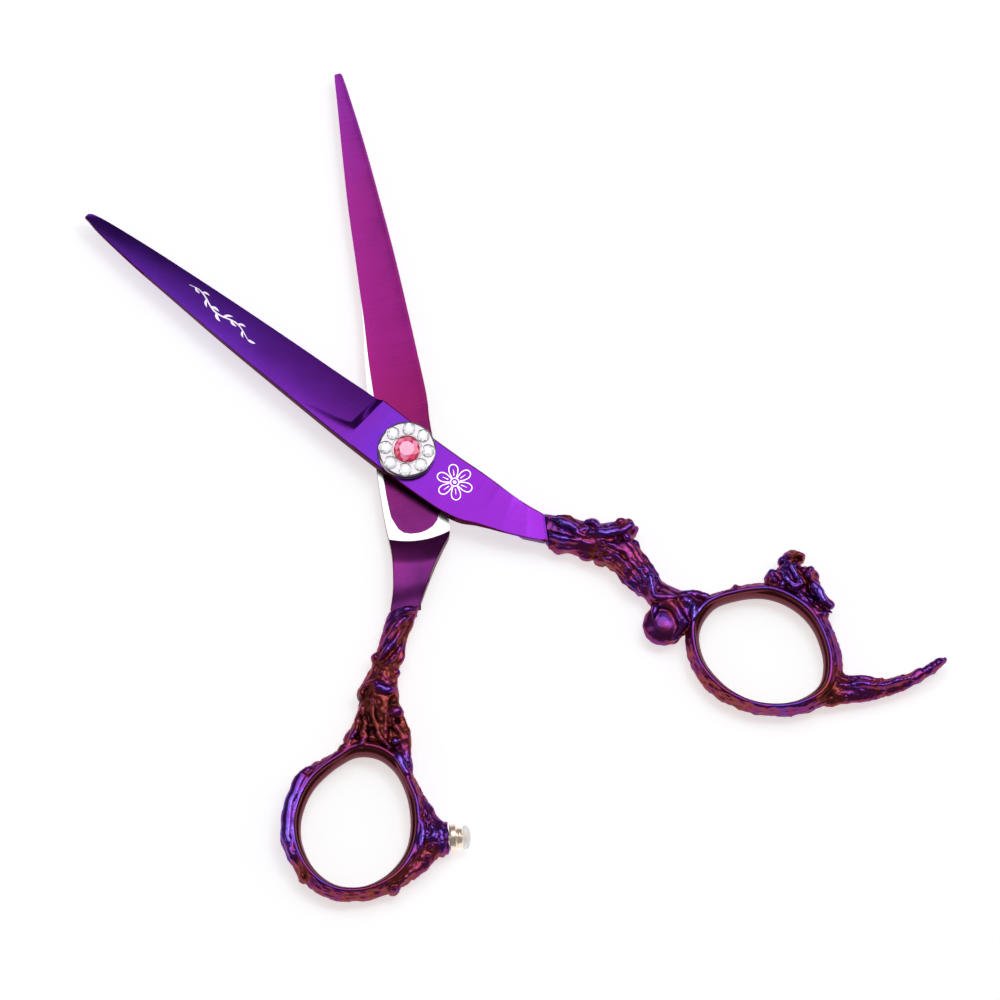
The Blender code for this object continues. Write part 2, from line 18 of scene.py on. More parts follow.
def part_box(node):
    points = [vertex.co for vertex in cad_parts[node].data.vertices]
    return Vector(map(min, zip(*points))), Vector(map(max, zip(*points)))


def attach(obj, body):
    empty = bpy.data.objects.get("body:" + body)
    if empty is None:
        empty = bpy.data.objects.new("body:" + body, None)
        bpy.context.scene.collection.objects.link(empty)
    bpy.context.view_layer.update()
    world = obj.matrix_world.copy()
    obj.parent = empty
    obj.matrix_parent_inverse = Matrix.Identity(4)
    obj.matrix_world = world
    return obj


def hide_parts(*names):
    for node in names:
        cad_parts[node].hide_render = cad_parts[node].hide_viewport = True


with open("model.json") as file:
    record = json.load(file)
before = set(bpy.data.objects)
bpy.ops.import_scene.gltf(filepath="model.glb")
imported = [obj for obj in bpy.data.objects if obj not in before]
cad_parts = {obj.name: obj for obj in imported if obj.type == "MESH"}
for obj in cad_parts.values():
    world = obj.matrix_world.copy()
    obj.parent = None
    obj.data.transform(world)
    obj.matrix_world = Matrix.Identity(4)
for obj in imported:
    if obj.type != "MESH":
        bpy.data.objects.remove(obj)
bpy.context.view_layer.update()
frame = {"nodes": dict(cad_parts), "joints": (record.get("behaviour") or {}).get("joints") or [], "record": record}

MM = 0.001
TO_MM = 1000.0


# ---- what the frame says

def box_mm(node):
    low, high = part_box(node)
    return np.array(low) * TO_MM, np.array(high) * TO_MM


def named(items, name):
    return next(item for item in items if item["name"] == name)


CLOSED_PLAY = 0.5           # degrees from the closed stop to the bumper's touch
REST_OPEN = math.radians(named(frame["joints"], "blade_pivot")["range_deg"][1] + CLOSED_PLAY)
BLADE_THICK = 2.3
FINGER_TOP = box_mm("finger_blade")[1][2]
FINGER_INNER = FINGER_TOP - BLADE_THICK
THUMB_INNER = box_mm("thumb_blade")[0][2] + BLADE_THICK
THUMB_SHANK_TOP = box_mm("thumb_blade")[1][2]
HANDLE_LOW, HANDLE_HIGH = box_mm("finger_handle")[0][2], box_mm("finger_handle")[1][2]
HANDLE_MID = (HANDLE_LOW + HANDLE_HIGH) / 2
DIAL_LOW, DIAL_HIGH = box_mm("tension_dial")[0][2], box_mm("tension_dial")[1][2]
DIAL_R = box_mm("tension_dial")[1][0]
HOLLOW_MOON_R = 15.3        # circle about the pivot where the thumb half's sliding face ends
SHANK_START_R = 19.9        # and where its slope has climbed to the shank
CLOSED_TO_REST = Matrix.Rotation(-REST_OPEN, 4, "Z")
REST_TO_CLOSED = Matrix.Rotation(REST_OPEN, 4, "Z")


# ---- numbers and arrays of points

def rows(text):
    return tuple(tuple(map(float, row.split())) for row in text.split(","))


def turns(count, shift=0.0):
    """Angles of even steps round a circle."""
    return [2 * math.pi * (k + shift) / count for k in range(count)]


def smoothstep(low, high, value):
    t = np.clip((value - low) / (high - low), 0, 1)
    return t * t * (3 - 2 * t)


def hashed(cells, seed):
    """A repeatable number from 0 to 1 for each whole-number cell."""
    n = cells.astype(np.int64)
    mixed = n[..., 0] * 374761393 + n[..., 1] * 668265263 + n[..., 2] * 2147483647 + seed * 974634777
    mixed = (mixed ^ (mixed >> 13)) * 1274126177
    mixed = mixed ^ (mixed >> 16)
    return (mixed & 0xFFFFFF) / float(0xFFFFFF)


def value_noise(points, size, seed):
    """Smooth noise from -1 to 1 with features about size across."""
    scaled = points / size
    base = np.floor(scaled)
    part = scaled - base
    part = part * part * (3 - 2 * part)
    total = np.zeros(len(points))
    for corner in np.ndindex(2, 2, 2):
        offset = np.array(corner)
        weight = np.prod(np.where(offset == 1, part, 1 - part), axis=1)
        total += weight * hashed(base + offset, seed)
    return total * 2 - 1


def cell_noise(points, size, seed):
    """Distances to the nearest and second nearest of scattered points, as shares of size."""
    scaled = points / size
    base = np.floor(scaled)
    nearest, second = np.full((2, len(points)), 9.0)
    for offset in np.ndindex(3, 3, 3):
        cell = base + np.array(offset) - 1
        spot = cell + np.stack([hashed(cell, seed + k) for k in (1, 2, 3)], axis=1)
        distance = np.linalg.norm(spot - scaled, axis=1)
        second = np.minimum(second, np.maximum(nearest, distance))
        nearest = np.minimum(nearest, distance)
    return nearest, second


def catmull(points, per_span):
    """Rows of any width (x, y, z, radius...) along a smooth curve through a few of them."""
    p = np.array(points, float)
    p = np.vstack([2 * p[0] - p[1], p, 2 * p[-1] - p[-2]])
    out = []
    for a, b, c, d in zip(p, p[1:], p[2:], p[3:]):
        for k in range(per_span):
            t = k / per_span
            cubic = 2 * b + (c - a) * t + (2 * a - 5 * b + 4 * c - d) * t ** 2
            out.append((cubic + (3 * b - a - 3 * c + d) * t ** 3) / 2)
    return np.array(out + [p[-2]])


# ---- meshes

def add_object(name, data):
    obj = bpy.data.objects.new(name, data)
    bpy.context.scene.collection.objects.link(obj)
    return obj


def mesh_of(bm, place=Matrix()):
    mesh = bpy.data.meshes.new("mesh")
    bm.to_mesh(mesh)
    bm.free()
    mesh.transform(place)
    return mesh


def evaluated_mesh(obj):
    return bpy.data.meshes.new_from_object(obj.evaluated_get(bpy.context.evaluated_depsgraph_get()))


def array_of(items, name, width=3, kind=float):
    values = np.empty(len(items) * width, kind)
    items.foreach_get(name, values)
    return values.reshape(-1, width)


def set_vertices(mesh, co):
    mesh.vertices.foreach_set("co", co.ravel())
    mesh.update()


def set_attribute(mesh, name, values, domain="POINT"):
    mesh.attributes.new(name, "FLOAT", domain).data.foreach_set("value", np.asarray(values, np.float32))


def smoothed(values, edges, rounds):
    """Moves each vertex's row halfway to the mean of its neighbours, as often as rounds says."""
    count = len(values)
    degree = np.maximum(np.bincount(edges.ravel(), minlength=count), 1)
    for _ in range(rounds):
        means = []
        for column in values.T:
            total = np.bincount(edges[:, 0], weights=column[edges[:, 1]], minlength=count)
            total += np.bincount(edges[:, 1], weights=column[edges[:, 0]], minlength=count)
            means.append(total / degree)
        values = values * 0.5 + np.stack(means, axis=1) * 0.5
    return values


def finish_piece(name, mesh, material, body, node=None, smooth_angle=None):
    """Turns a mesh in millimetres into a piece in metres that rides on a body."""
    swing = CLOSED_TO_REST if body == "thumb_half" else Matrix()
    mesh.transform(swing @ Matrix.Scale(MM, 4))
    mesh.name = name
    obj = add_object(name, mesh)
    mesh.shade_smooth()
    if smooth_angle is not None:
        mesh.set_sharp_from_angle(angle=math.radians(smooth_angle))
    mesh.materials.clear()
    mesh.materials.append(material)
    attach(obj, body)
    if node:
        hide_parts(node)


def band(bm, near, far):
    """Faces between two rounds of vertices, either of which may be a single point."""
    count = max(len(near), len(far))
    for k in range(count):
        m = (k + 1) % count
        corners = (near[k % len(near)], near[m % len(near)], far[m % len(far)], far[k % len(far)])
        bm.faces.new(list(dict.fromkeys(corners)))


def tube_mesh(bm, path):
    """Adds a tube along path rows (x, y, z, radius), with round ends."""
    centre, radius = path[:, :3], path[:, 3]
    last = len(path) - 1
    stations = []
    for index in range(len(path)):
        ahead = centre[min(index + 1, last)] - centre[max(index - 1, 0)]
        along = ahead / (np.linalg.norm(ahead) + 1e-9)
        stations.append((centre[index], along, radius[index]))
    caps = []
    for sign, (spot, along, r) in ((-1, stations[0]), (1, stations[-1])):
        caps.append([(spot + along * sign * r * math.sin(a), along, r * math.cos(a))
                     for a in (0.5, 1.0, 1.4)])
    rounds = []
    for spot, along, r in caps[0][::-1] + stations + caps[1]:
        across = np.cross((0.0, 0.0, 1.0), along)
        across /= np.linalg.norm(across) + 1e-9
        up = np.cross(along, across)
        rounds.append([bm.verts.new(spot + across * (r * math.cos(turn)) + up * (r * math.sin(turn)))
                       for turn in turns(10)])
    for near, far in zip(rounds, rounds[1:]):
        band(bm, near, far)
    bm.faces.new(rounds[0][::-1])
    bm.faces.new(rounds[-1])


# ---- materials

class Finish:
    """A Principled material while its nodes are wired up."""

    def __init__(self, name, **constants):
        self.material = bpy.data.materials.new(name)
        self.material.use_nodes = True
        self.tree = self.material.node_tree
        self.bsdf = self.tree.nodes["Principled BSDF"]
        self.wire(**constants)

    def feed(self, socket, value):
        """Links or sets a socket.  A colour is given without its alpha."""
        if isinstance(value, bpy.types.NodeSocket):
            self.tree.links.new(value, socket)
        else:
            socket.default_value = (*value, 1.0) if socket.type == "RGBA" else value

    def wire(self, **sockets):
        for name, value in sockets.items():
            self.feed(self.bsdf.inputs[name.replace("_", " ")], value)

    def node(self, kind, inputs, **settings):
        made = self.tree.nodes.new("ShaderNode" + kind)
        for key, value in settings.items():
            setattr(made, key, value)
        for key, value in inputs.items():
            self.feed(made.inputs[key], value)
        return made

    def space(self, scale=(1, 1, 1), turn=0.0):
        """Object coordinates in millimetres, turned about Z and stretched."""
        where = self.node("TexCoord", {}).outputs["Object"]
        turned = self.node("Mapping", {"Vector": where, "Rotation": (0, 0, turn)})
        stretch = tuple(TO_MM * s for s in scale)
        return self.node("Mapping", {"Vector": turned.outputs[0], "Scale": stretch}).outputs[0]

    def noise(self, scale, detail, space=None, roughness=0.5):
        return self.node("TexNoise", {"Vector": space or self.space(), "Scale": scale, "Detail": detail,
                                      "Roughness": roughness}).outputs["Fac"]

    def ramp(self, value, stops):
        """Colours along rows (place, red, green, blue)."""
        made = self.node("ValToRGB", {"Fac": value})
        elements = made.color_ramp.elements
        while len(elements) < len(stops):
            elements.new(0.5)
        for element, (place, *colour) in zip(elements, stops):
            element.position = place
            element.color = (*colour, 1.0)
        return made.outputs["Color"]

    def mix(self, factor, a, b, blend="MIX"):
        return self.node("Mix", {0: factor, 6: a, 7: b}, data_type="RGBA", blend_type=blend).outputs[2]

    def span(self, value, low, high, to_low=0.0, to_high=1.0):
        return self.node("MapRange", {"Value": value, "From Min": low, "From Max": high, "To Min": to_low,
                                      "To Max": to_high}).outputs[0]

    def add(self, a, b):
        return self.node("Math", {0: a, 1: b}, operation="ADD").outputs[0]

    def attribute(self, name):
        return self.node("Attribute", {}, attribute_name=name).outputs["Fac"]

    def bump(self, height, distance, strength=0.4):
        made = self.node("Bump", {"Height": height, "Distance": distance * MM, "Strength": strength})
        self.wire(Normal=made.outputs[0])


GRAIN_DEPTH = 0.004
BLADE_SPAN = (-70.0, 28.0)
# Rows are (place along the blade, red, green, blue)
VIOLET = rows("-70 .13 .026 .4, -38 .125 .024 .39, -14 .14 .017 .3, -6 .125 .021 .39, 13 .2 .018 .4,"
              "27 .18 .018 .35")
MAGENTA = rows("-70 .165 .018 .22, -50 .195 .015 .16, -22 .2 .011 .13, -8 .19 .0095 .09, 12 .12 .012 .1,"
               "18 .19 .02 .17, 22 .15 .018 .15, 27 .08 .012 .09")
# Painted shade: a blade's narrow sides, which mirror the shadowed floor, and a thin line along its borders are
# darkened to this maroon
SHADED_SIDE_MAROON = (0.075, 0.006, 0.022)
STEEL = (0.80, 0.79, 0.80)
EDGE_TINT = (0.5, 0.4, 0.45)        # keeps an oxide's colour where it is seen nearly edge-on
CAST_EDGE_TINT = (0.8, 0.7, 0.8)
CAST_OXIDE = rows("0 .04 .008 .016, .18 .15 .03 .026, .34 .31 .06 .045, .48 .26 .032 .1, .62 .21 .032 .2,"
                  ".8 .13 .04 .34, 1 .18 .095 .52")
CAST_INNER = (0.15, 0.032, 0.036)
# Painted glow: a stone glows in its own colour in place of the light its foil sends back
PAINTED_FOIL_GLOW = 0.55                    # light a stone's foil sends back, which its flat colour leaves out
# Colours of painted facet light, from dark facets up to the painted reflection on the table
PINK_PAINTED_FACETS = rows("0 .38 .008 .03, .4 .72 .04 .12, .7 .8 .1 .25, 1 .92 .34 .55")
CLEAR_PAINTED_FACETS = rows("0 .2 .22 .25, .25 .7 .74 .78, .7 .95 .96 .98, 1 1 1 1")


def blade_material(name, hues, turn):
    """Polished steel under an oxide colour that drifts along the blade, with grinding lines and a few
    specks, bare where the two halves slide on each other, and painted shade in maroon on its narrow sides."""
    finish = Finish(name, Metallic=1.0, Specular_Tint=EDGE_TINT)
    low, high = BLADE_SPAN
    clouds = finish.noise(0.09, 3.0)
    along = finish.node("SeparateXYZ", {"Vector": finish.space(turn=turn)}).outputs["X"]
    along = finish.add(along, finish.span(clouds, 0.3, 0.7, -4.0, 4.0))
    stops = [((x - low) / (high - low), *hue) for x, *hue in hues]
    colour = finish.ramp(finish.span(along, low, high), stops)
    lines = finish.noise(2.2, 4.0, finish.space((3.0, 0.05, 0.2), turn))
    colour = finish.mix(finish.span(lines, 0.3, 0.75, 0.0, 0.3), colour, (0.75, 0.75, 0.78), "MULTIPLY")
    specks = finish.noise(7.0, 2.0)
    colour = finish.mix(finish.span(specks, 0.70, 0.8, 0.0, 0.3), colour, (0.42, 0.16, 0.6))
    # Painted shade: maroon on the narrow sides and in a thin line along the borders
    colour = finish.mix(finish.attribute("side"), colour, SHADED_SIDE_MAROON)
    bare = finish.span(finish.attribute("bare"), -0.03, 0.03)
    smear = finish.noise(0.35, 3.0, finish.space((0.6, 0.6, 0.6)))
    rough = finish.add(finish.span(smear, 0.3, 0.7, 0.16, 0.26), finish.span(lines, 0.3, 0.7, 0, 0.05))
    finish.wire(Base_Color=finish.mix(bare, colour, STEEL), Roughness=rough)
    finish.bump(lines, GRAIN_DEPTH, 0.35)
    return finish.material


def cast_material():
    """Cast and coated relief: violet on what stands proud, magenta between and copper in the hollows."""
    finish = Finish("cast_oxide", Metallic=1.0, Specular_Tint=CAST_EDGE_TINT)
    relief = finish.attribute("relief")
    mottle, patches = finish.noise(0.9, 3.0), finish.noise(0.25, 2.0)
    level = finish.add(relief, finish.span(mottle, 0.25, 0.75, -0.1, 0.1))
    level = finish.add(level, finish.span(patches, 0.3, 0.7, -0.12, 0.12))
    colour = finish.mix(finish.attribute("wall"), finish.ramp(level, CAST_OXIDE), CAST_INNER)
    grit = finish.noise(6.0, 3.0, roughness=0.65)
    rough = finish.add(finish.span(relief, 0.1, 0.8, 0.42, 0.2), finish.span(grit, 0.3, 0.7, -0.03, 0.06))
    finish.wire(Base_Color=colour, Roughness=rough)
    finish.bump(grit, 0.01)
    return finish.material


# painted_glow lets the metal glow in its own colour, as painted light
def plain_metal(name, colour, roughness, depth=GRAIN_DEPTH, painted_glow=0.0):
    finish = Finish(name, Metallic=1.0, Emission_Color=colour, Emission_Strength=painted_glow)
    grain, smear = finish.noise(3.0, 4.0), finish.noise(0.7, 3.0)
    tint = tuple(c * 0.9 for c in colour)
    finish.wire(Base_Color=finish.mix(finish.span(grain, 0.35, 0.7), colour, tint),
                Roughness=finish.span(smear, 0.3, 0.7, roughness, roughness + 0.1))
    finish.bump(grain, depth)
    return finish.material


# painted_glow lets the plastic glow in its own colour, as painted light
def plastic_material(name, colour, roughness, transmission=0.0, painted_glow=0.0):
    finish = Finish(name, IOR=1.45, Transmission_Weight=transmission, Emission_Color=colour,
                    Emission_Strength=painted_glow)
    dust = finish.noise(2.5, 4.0)
    tint = tuple(c * 0.93 for c in colour)
    finish.wire(Base_Color=finish.mix(finish.span(dust, 0.4, 0.75), colour, tint),
                Roughness=finish.span(dust, 0.3, 0.7, roughness, roughness + 0.12))
    finish.bump(dust, 0.01)
    return finish.material


def crystal_material(name, facet_lights):
    """A foiled stone that glows with painted light, and whose facets each show a different share of painted light.
    """
    # Painted light: the stone glows with its facet colour
    finish = Finish(name, IOR=1.7, Coat_Weight=1.0, Coat_Roughness=0.02, Coat_IOR=1.7,
                    Emission_Strength=PAINTED_FOIL_GLOW)
    flaws = finish.noise(1.4, 3.0)
    facet_light = finish.add(finish.attribute("facet_light"), finish.span(flaws, 0.3, 0.7, -0.06, 0.06))
    colour = finish.ramp(facet_light, facet_lights)
    finish.wire(Base_Color=colour, Emission_Color=colour, Roughness=finish.span(flaws, 0.3, 0.7, 0.04, 0.1))
    return finish.material


# ---- blades

TIP_X = box_mm("finger_blade")[0][0]
TIP_THICK = 1.2
LAND = 0.16               # thickness left at the cutting edge
GRIND_STRAIGHT = 0.7      # share of the grind's fall that is even across the width
RUN_OUT_FROM = 0.3        # share of the width, from the spine, where the grind starts to end in a step
GRIND_END = -9.4
LIPS_FROM = GRIND_END + 1.0   # where both of a blade's sides have a chamfer
GRIND_RUN_OUT, SPINE_RUN_OUT = 1.5, 11.0
CHAMFER, CHAMFER_SHARE = 0.14, 0.012
HOLLOW_DEPTH = 0.22
BORE_R = 3.3
RECESS_R, RECESS_DEPTH = 4.45, 0.45
SHANK_RISE = THUMB_SHANK_TOP - THUMB_INNER
SHANK_BOTTOM = FINGER_TOP - 4.3
WELD = 0.5                # how far a shank runs into the handle it is welded to

# Outline rows are x, y of the spine and y of the cutting edge
FINGER_OUTLINE = rows("""
-69.9 4 5.05, -69 3.8 5.45, -66 3 5.75, -58 1.55 6, -50 .45 6.05, -38 -1.2 6, -26 -2.6 5.8,
-18 -3.5 5.6, -9.4 -4.4 5.45, 0 -5.15 4.75, 8 -5.5 4.35, 11.5 -5.4 4.3, 14.4 -4.95 4.2, 17 -3.95 4.05,
20.4 -2.6 3.9, 24 -1 3.95, 26.9 .5 4.2""")
THUMB_OUTLINE = rows("""
-69.9 5.15 4.1, -69 5.45 3.9, -64 5.8 3.2, -56 6.2 2.05, -46 6.4 .7, -36 6.5 -.35, -26 6.35 -1.5,
-18 6.15 -3, -10 5.9 -4.3, -5 5.3 -4.9, 2 4.9 -5.7, 10 4.5 -6.4, 14.8 4 -6.55, 17.4 2.2 -6.8,
20 .2 -7.3, 23.2 -2 -8.1, 26.3 -4 -9.3""")
# Rows are x, and how far the shank there leans along X for each step in Y, or is cut down
FINGER_LEAN = rows("17 0, 20.4 -.25, 24 -.6, 26.9 -.9")
FINGER_DROP = rows("14.4 0, 17 .05, 20.4 .2, 24 .45, 26.9 .75")
# Rows are x, width of the sliding band along the edge and width of the rim along the spine
HOLLOW_RIMS = rows("""
-69.9 .03 .3, -30 .03 .35, -24 .2 .35, -18 .6 .4, -12 1 .4, 3 .95 .4, 6 .95 .5, 10 1.15 1,
12.4 1.95 1.95, 13.3 2.75 2.9, 13.8 4 4.1, 13.95 5.4 5.2""")
HOLLOW_END = HOLLOW_RIMS[-1][0]
LOWER_SHANK = rows("18.4 2.2, 18.4 3.7, 21.4 3.75, 25.4 4.05, 28.5 .6, 24.7 -.95, 22.5 -1, 20.4 .6")


def column(table, index, xs):
    curve = catmull(table, 10)
    return np.interp(xs, curve[:, 0], curve[:, index])


def outer_height(x, v):
    """Thickness of a half, measured out from its sliding plane.  v runs from the spine to the edge."""
    from_tip = np.clip((x - TIP_X) / (GRIND_END - TIP_X), 0, 1)
    full = TIP_THICK + (BLADE_THICK - TIP_THICK) * from_tip ** 0.8
    ground = full - (full - LAND) * (GRIND_STRAIGHT * v + (1 - GRIND_STRAIGHT) * v ** 2)
    t = np.clip((v - RUN_OUT_FROM) / (1 - RUN_OUT_FROM), 0, 1)
    end = GRIND_END - 0.2 + t * 1.1
    length = GRIND_RUN_OUT + (SPINE_RUN_OUT - GRIND_RUN_OUT) * (1 - smoothstep(0.02, 0.36, v))
    run = np.clip((x - end) / length + 1, 0, 1)
    return ground + (full - ground) * run ** 1.3


def hollow(x, y, spine, edge):
    """Depth of the hollow grind, and how far a point is inside its border."""
    places, bands, rims = zip(*HOLLOW_RIMS)
    band_width, rim = np.interp(x, places, bands), np.interp(x, places, rims)
    toward = np.sign(edge - spine)
    from_edge = (edge - y) * toward - band_width
    from_spine = (y - spine) * toward - rim
    inside = np.minimum(from_edge, from_spine)
    width = np.maximum((edge - spine) * toward - band_width - rim, 0.05)
    w = np.clip(from_edge / width, 0, 1)
    close = np.clip((HOLLOW_END - x) / 5.0, 0, 1)
    depth = 4 * w * (1 - w) * HOLLOW_DEPTH * np.clip(width / 6.0, 0, 1) * (1 - (1 - close) ** 2)
    return np.where(x < HOLLOW_END, depth, 0), np.where(x < HOLLOW_END, inside, -1.0)


def shank_climb(x, y):
    """How far the thumb half's top has climbed, from 0 to 1, at a distance from the pivot."""
    away = np.clip((np.hypot(x, y) - HOLLOW_MOON_R) / (SHANK_START_R - HOLLOW_MOON_R), 0, 1)
    return np.where(x > 0, 1 - (1 - away) ** 1.35, 0)


def inside_polygon(x, y, corners):
    """Signed distance to a polygon, positive inside."""
    px, py = x.ravel(), y.ravel()
    best = np.full(px.shape, 1e9)
    crossings = np.zeros(px.shape, bool)
    for (ax, ay), (bx, by) in zip(corners, corners[1:] + corners[:1]):
        ex, ey = bx - ax, by - ay
        t = np.clip(((px - ax) * ex + (py - ay) * ey) / (ex * ex + ey * ey), 0, 1)
        best = np.minimum(best, np.hypot(px - ax - t * ex, py - ay - t * ey))
        spans = (ay > py) != (by > py)
        with np.errstate(divide="ignore", invalid="ignore"):
            cut_x = ax + (py - ay) * ex / ey
        crossings ^= spans & (px < cut_x)
    return np.where(crossings, best, -best).reshape(x.shape)


def blade_grid(outline, end):
    """Places along and across a half: x, v from spine to edge, both borders and y."""
    spans = ((TIP_X, -66.0, 0.12), (-66.0, -30.0, 0.5), (-30.0, -11.6, 0.3), (-11.6, -8.2, 0.07),
             (-8.2, 11.0, 0.25), (11.0, end, 0.12))
    xs = np.concatenate([np.arange(*span) for span in spans] + [[end]])
    lips = np.array([0.0, CHAMFER_SHARE, 0.03])
    vs = np.concatenate([lips, np.linspace(0.06, 0.94, 45), 1 - lips[::-1]])
    spine, edge = column(outline, 1, xs), column(outline, 2, xs)
    x, v = np.meshgrid(xs, vs, indexing="ij")
    spine, edge = spine[:, None] + 0 * v, edge[:, None] + 0 * v
    return x, v, spine, edge, spine + (edge - spine) * v


def lip(v):
    """How deep the chamfer is at a share of the width from a side."""
    return CHAMFER * (1 - np.clip(v / CHAMFER_SHARE, 0, 1))


def rounded_lip(x, v, height):
    """Lowers the outer face at the spine, and at both sides behind the grind."""
    return height - (lip(v) + np.where(x > LIPS_FROM, lip(1 - v), 0))


def slab(x, y, first, second):
    """A closed mesh between two faces that share their x and y."""
    nx, nv = x.shape
    points = np.concatenate([np.stack([x, y, z], axis=-1).reshape(-1, 3) for z in (first, second)])
    grid = np.arange(nx * nv).reshape(nx, nv)
    quads = np.stack([grid[:-1, :-1], grid[1:, :-1], grid[1:, 1:], grid[:-1, 1:]], axis=-1).reshape(-1, 4)
    rim = np.concatenate([grid[:-1, 0], grid[-1, :-1], grid[:0:-1, -1], grid[0, :0:-1]])
    after = np.roll(rim, -1)
    shift = nx * nv
    walls = np.stack([rim, after, after + shift, rim + shift], axis=-1)
    faces = np.concatenate([quads[:, ::-1], quads + shift, walls])
    mesh = bpy.data.meshes.new("slab")
    mesh.from_pydata(points.tolist(), [], faces.tolist())
    bm = bmesh.new()
    bm.from_mesh(mesh)
    bmesh.ops.recalc_face_normals(bm, faces=bm.faces)
    bm.to_mesh(mesh)
    bm.free()
    return mesh


def cut(mesh, *cutters):
    """The mesh with upright round cutters (x, y, radius, low, high) taken out of it."""
    body = add_object("being_cut", mesh)
    tools = []
    for x, y, radius, low, high in cutters:
        bm = bmesh.new()
        bmesh.ops.create_cone(bm, cap_ends=True, segments=96, radius1=radius, radius2=radius,
                              depth=high - low)
        bmesh.ops.translate(bm, verts=bm.verts, vec=(x, y, (low + high) / 2))
        tools.append(add_object("cutter", mesh_of(bm)))
        boolean = body.modifiers.new("Cut", "BOOLEAN")
        boolean.operation, boolean.solver, boolean.object = "DIFFERENCE", "EXACT", tools[-1]
    result = evaluated_mesh(body)
    for obj in tools + [body]:
        bpy.data.objects.remove(obj)
    return result


def bare_steel(x, y, spine, edge):
    """Positive on the sliding band and the half-moon behind the pivot, which are honed bright."""
    outside = -hollow(x, y, spine, edge)[1]
    edge_side = (y - (spine + edge) / 2) * np.sign(edge - spine)
    sliding = np.where(x < 2.0, np.minimum(outside, edge_side), outside)
    return np.where(x > 0, np.minimum(sliding, HOLLOW_MOON_R - np.hypot(x, y)), sliding)


# The colour on a blade's sides is painted shade
SIDE_REACH, LIPPED_SIDE_REACH = 0.03, 0.16      # how far in from a blade's border its side's colour goes


def set_skin(mesh, outline, plane, lean):
    """Writes where a blade is bare steel and where its narrow sides take painted shade, for its material."""
    x, y, z = array_of(mesh.vertices, "co").T
    middle = (column(outline, 1, x) + column(outline, 2, x)) / 2
    x = x - lean(x) * (y - middle)
    spine, edge = column(outline, 1, x), column(outline, 2, x)
    reach = np.where(x > LIPS_FROM, LIPPED_SIDE_REACH, SIDE_REACH)
    side = np.minimum(np.abs(y - spine), np.abs(y - edge)) < reach
    on_face = np.abs(z - plane) < hollow(x, y, spine, edge)[0] + 0.06
    bare = np.where(on_face, bare_steel(x, y, spine, edge), -1.0)
    cutting = (x < GRIND_END) & (np.abs(y - edge) < SIDE_REACH)
    # On the sides the bare steel is held back, so the painted shade also darkens the sliding band's border
    set_attribute(mesh, "bare", np.where(side, np.minimum(bare, 0.02), bare))
    set_attribute(mesh, "side", side & ~cutting)


def finger_lean(x):
    return np.interp(x, *zip(*FINGER_LEAN))


def finger_top(x, v):
    return FINGER_INNER + outer_height(x, v) - np.interp(x, *zip(*FINGER_DROP))


def make_finger_blade(material):
    x, v, spine, edge, y = blade_grid(FINGER_OUTLINE, FINGER_OUTLINE[-1][0] + WELD)
    top = rounded_lip(x, v, finger_top(x, v))
    leant = x + finger_lean(x) * (y - (spine + edge) / 2)
    bottom = FINGER_INNER + hollow(x, y, spine, edge)[0]
    bottom = bottom + shank_climb(leant, y) * SHANK_RISE
    lower = smoothstep(-0.25, 0.25, inside_polygon(leant, y, LOWER_SHANK))
    bottom = bottom * (1 - lower) + SHANK_BOTTOM * lower
    mesh = cut(slab(leant, y, top, bottom), (0, 0, BORE_R, 0, 9))
    set_skin(mesh, FINGER_OUTLINE, FINGER_INNER, finger_lean)
    finish_piece("finger_blade_ground", mesh, material, "finger_half", "finger_blade", 24)


def make_thumb_blade(material):
    x, v, spine, edge, y = blade_grid(THUMB_OUTLINE, THUMB_OUTLINE[-1][0] + WELD)
    top = THUMB_INNER - hollow(x, y, spine, edge)[0] + shank_climb(x, y) * SHANK_RISE
    shank_lip = np.where(x > HOLLOW_MOON_R, lip(np.minimum(v, 1 - v)), 0)
    top = top - shank_lip - 0.6 * smoothstep(21.0, 26.8, x) ** 1.3
    bottom = THUMB_INNER - rounded_lip(x, v, outer_height(x, v))
    recess = (0, 0, RECESS_R, THUMB_INNER - RECESS_DEPTH, 9)
    mesh = cut(slab(x, y, top, bottom), (0, 0, 2.4, 0, 9), recess)
    set_skin(mesh, THUMB_OUTLINE, THUMB_INNER, np.zeros_like)
    finish_piece("thumb_blade_ground", mesh, material, "thumb_half", "thumb_blade", 24)


# ---- cast handles

VOXEL = 0.17
BASE_SQUASH = 0.75        # of the plain casting under the relief, along Z
FACE_MARGIN = 0.03
STROKE_SWELL, STROKE_LIFT, STROKE_WOBBLE = 1.4, 0.05, 0.4
BEAD_SHARE, BEAD_LEVEL, BEAD_R = 0.42, 5.0, 0.5      # smooth bead along the inner rim of a ring
WIDEST_WALL = 3.3
SCALE_HEIGHT, CREASE_HEIGHT = 0.13, 0.19
MIDDLE_HUE, HUE_PER_MM = 0.54, 1.25       # place in the oxide's ramp, and its growth with the relief
COPPER_SHARE = 0.75                       # of the negative tints below
SCALES_ROUND_RING = 10.5


def strokes(text):
    """Strokes of points x y z radius, with a comma between points and a semicolon between strokes.
    A name that ends in a colon says what follows."""
    return [rows(stroke.split(":")[-1]) for stroke in text.split(";")]
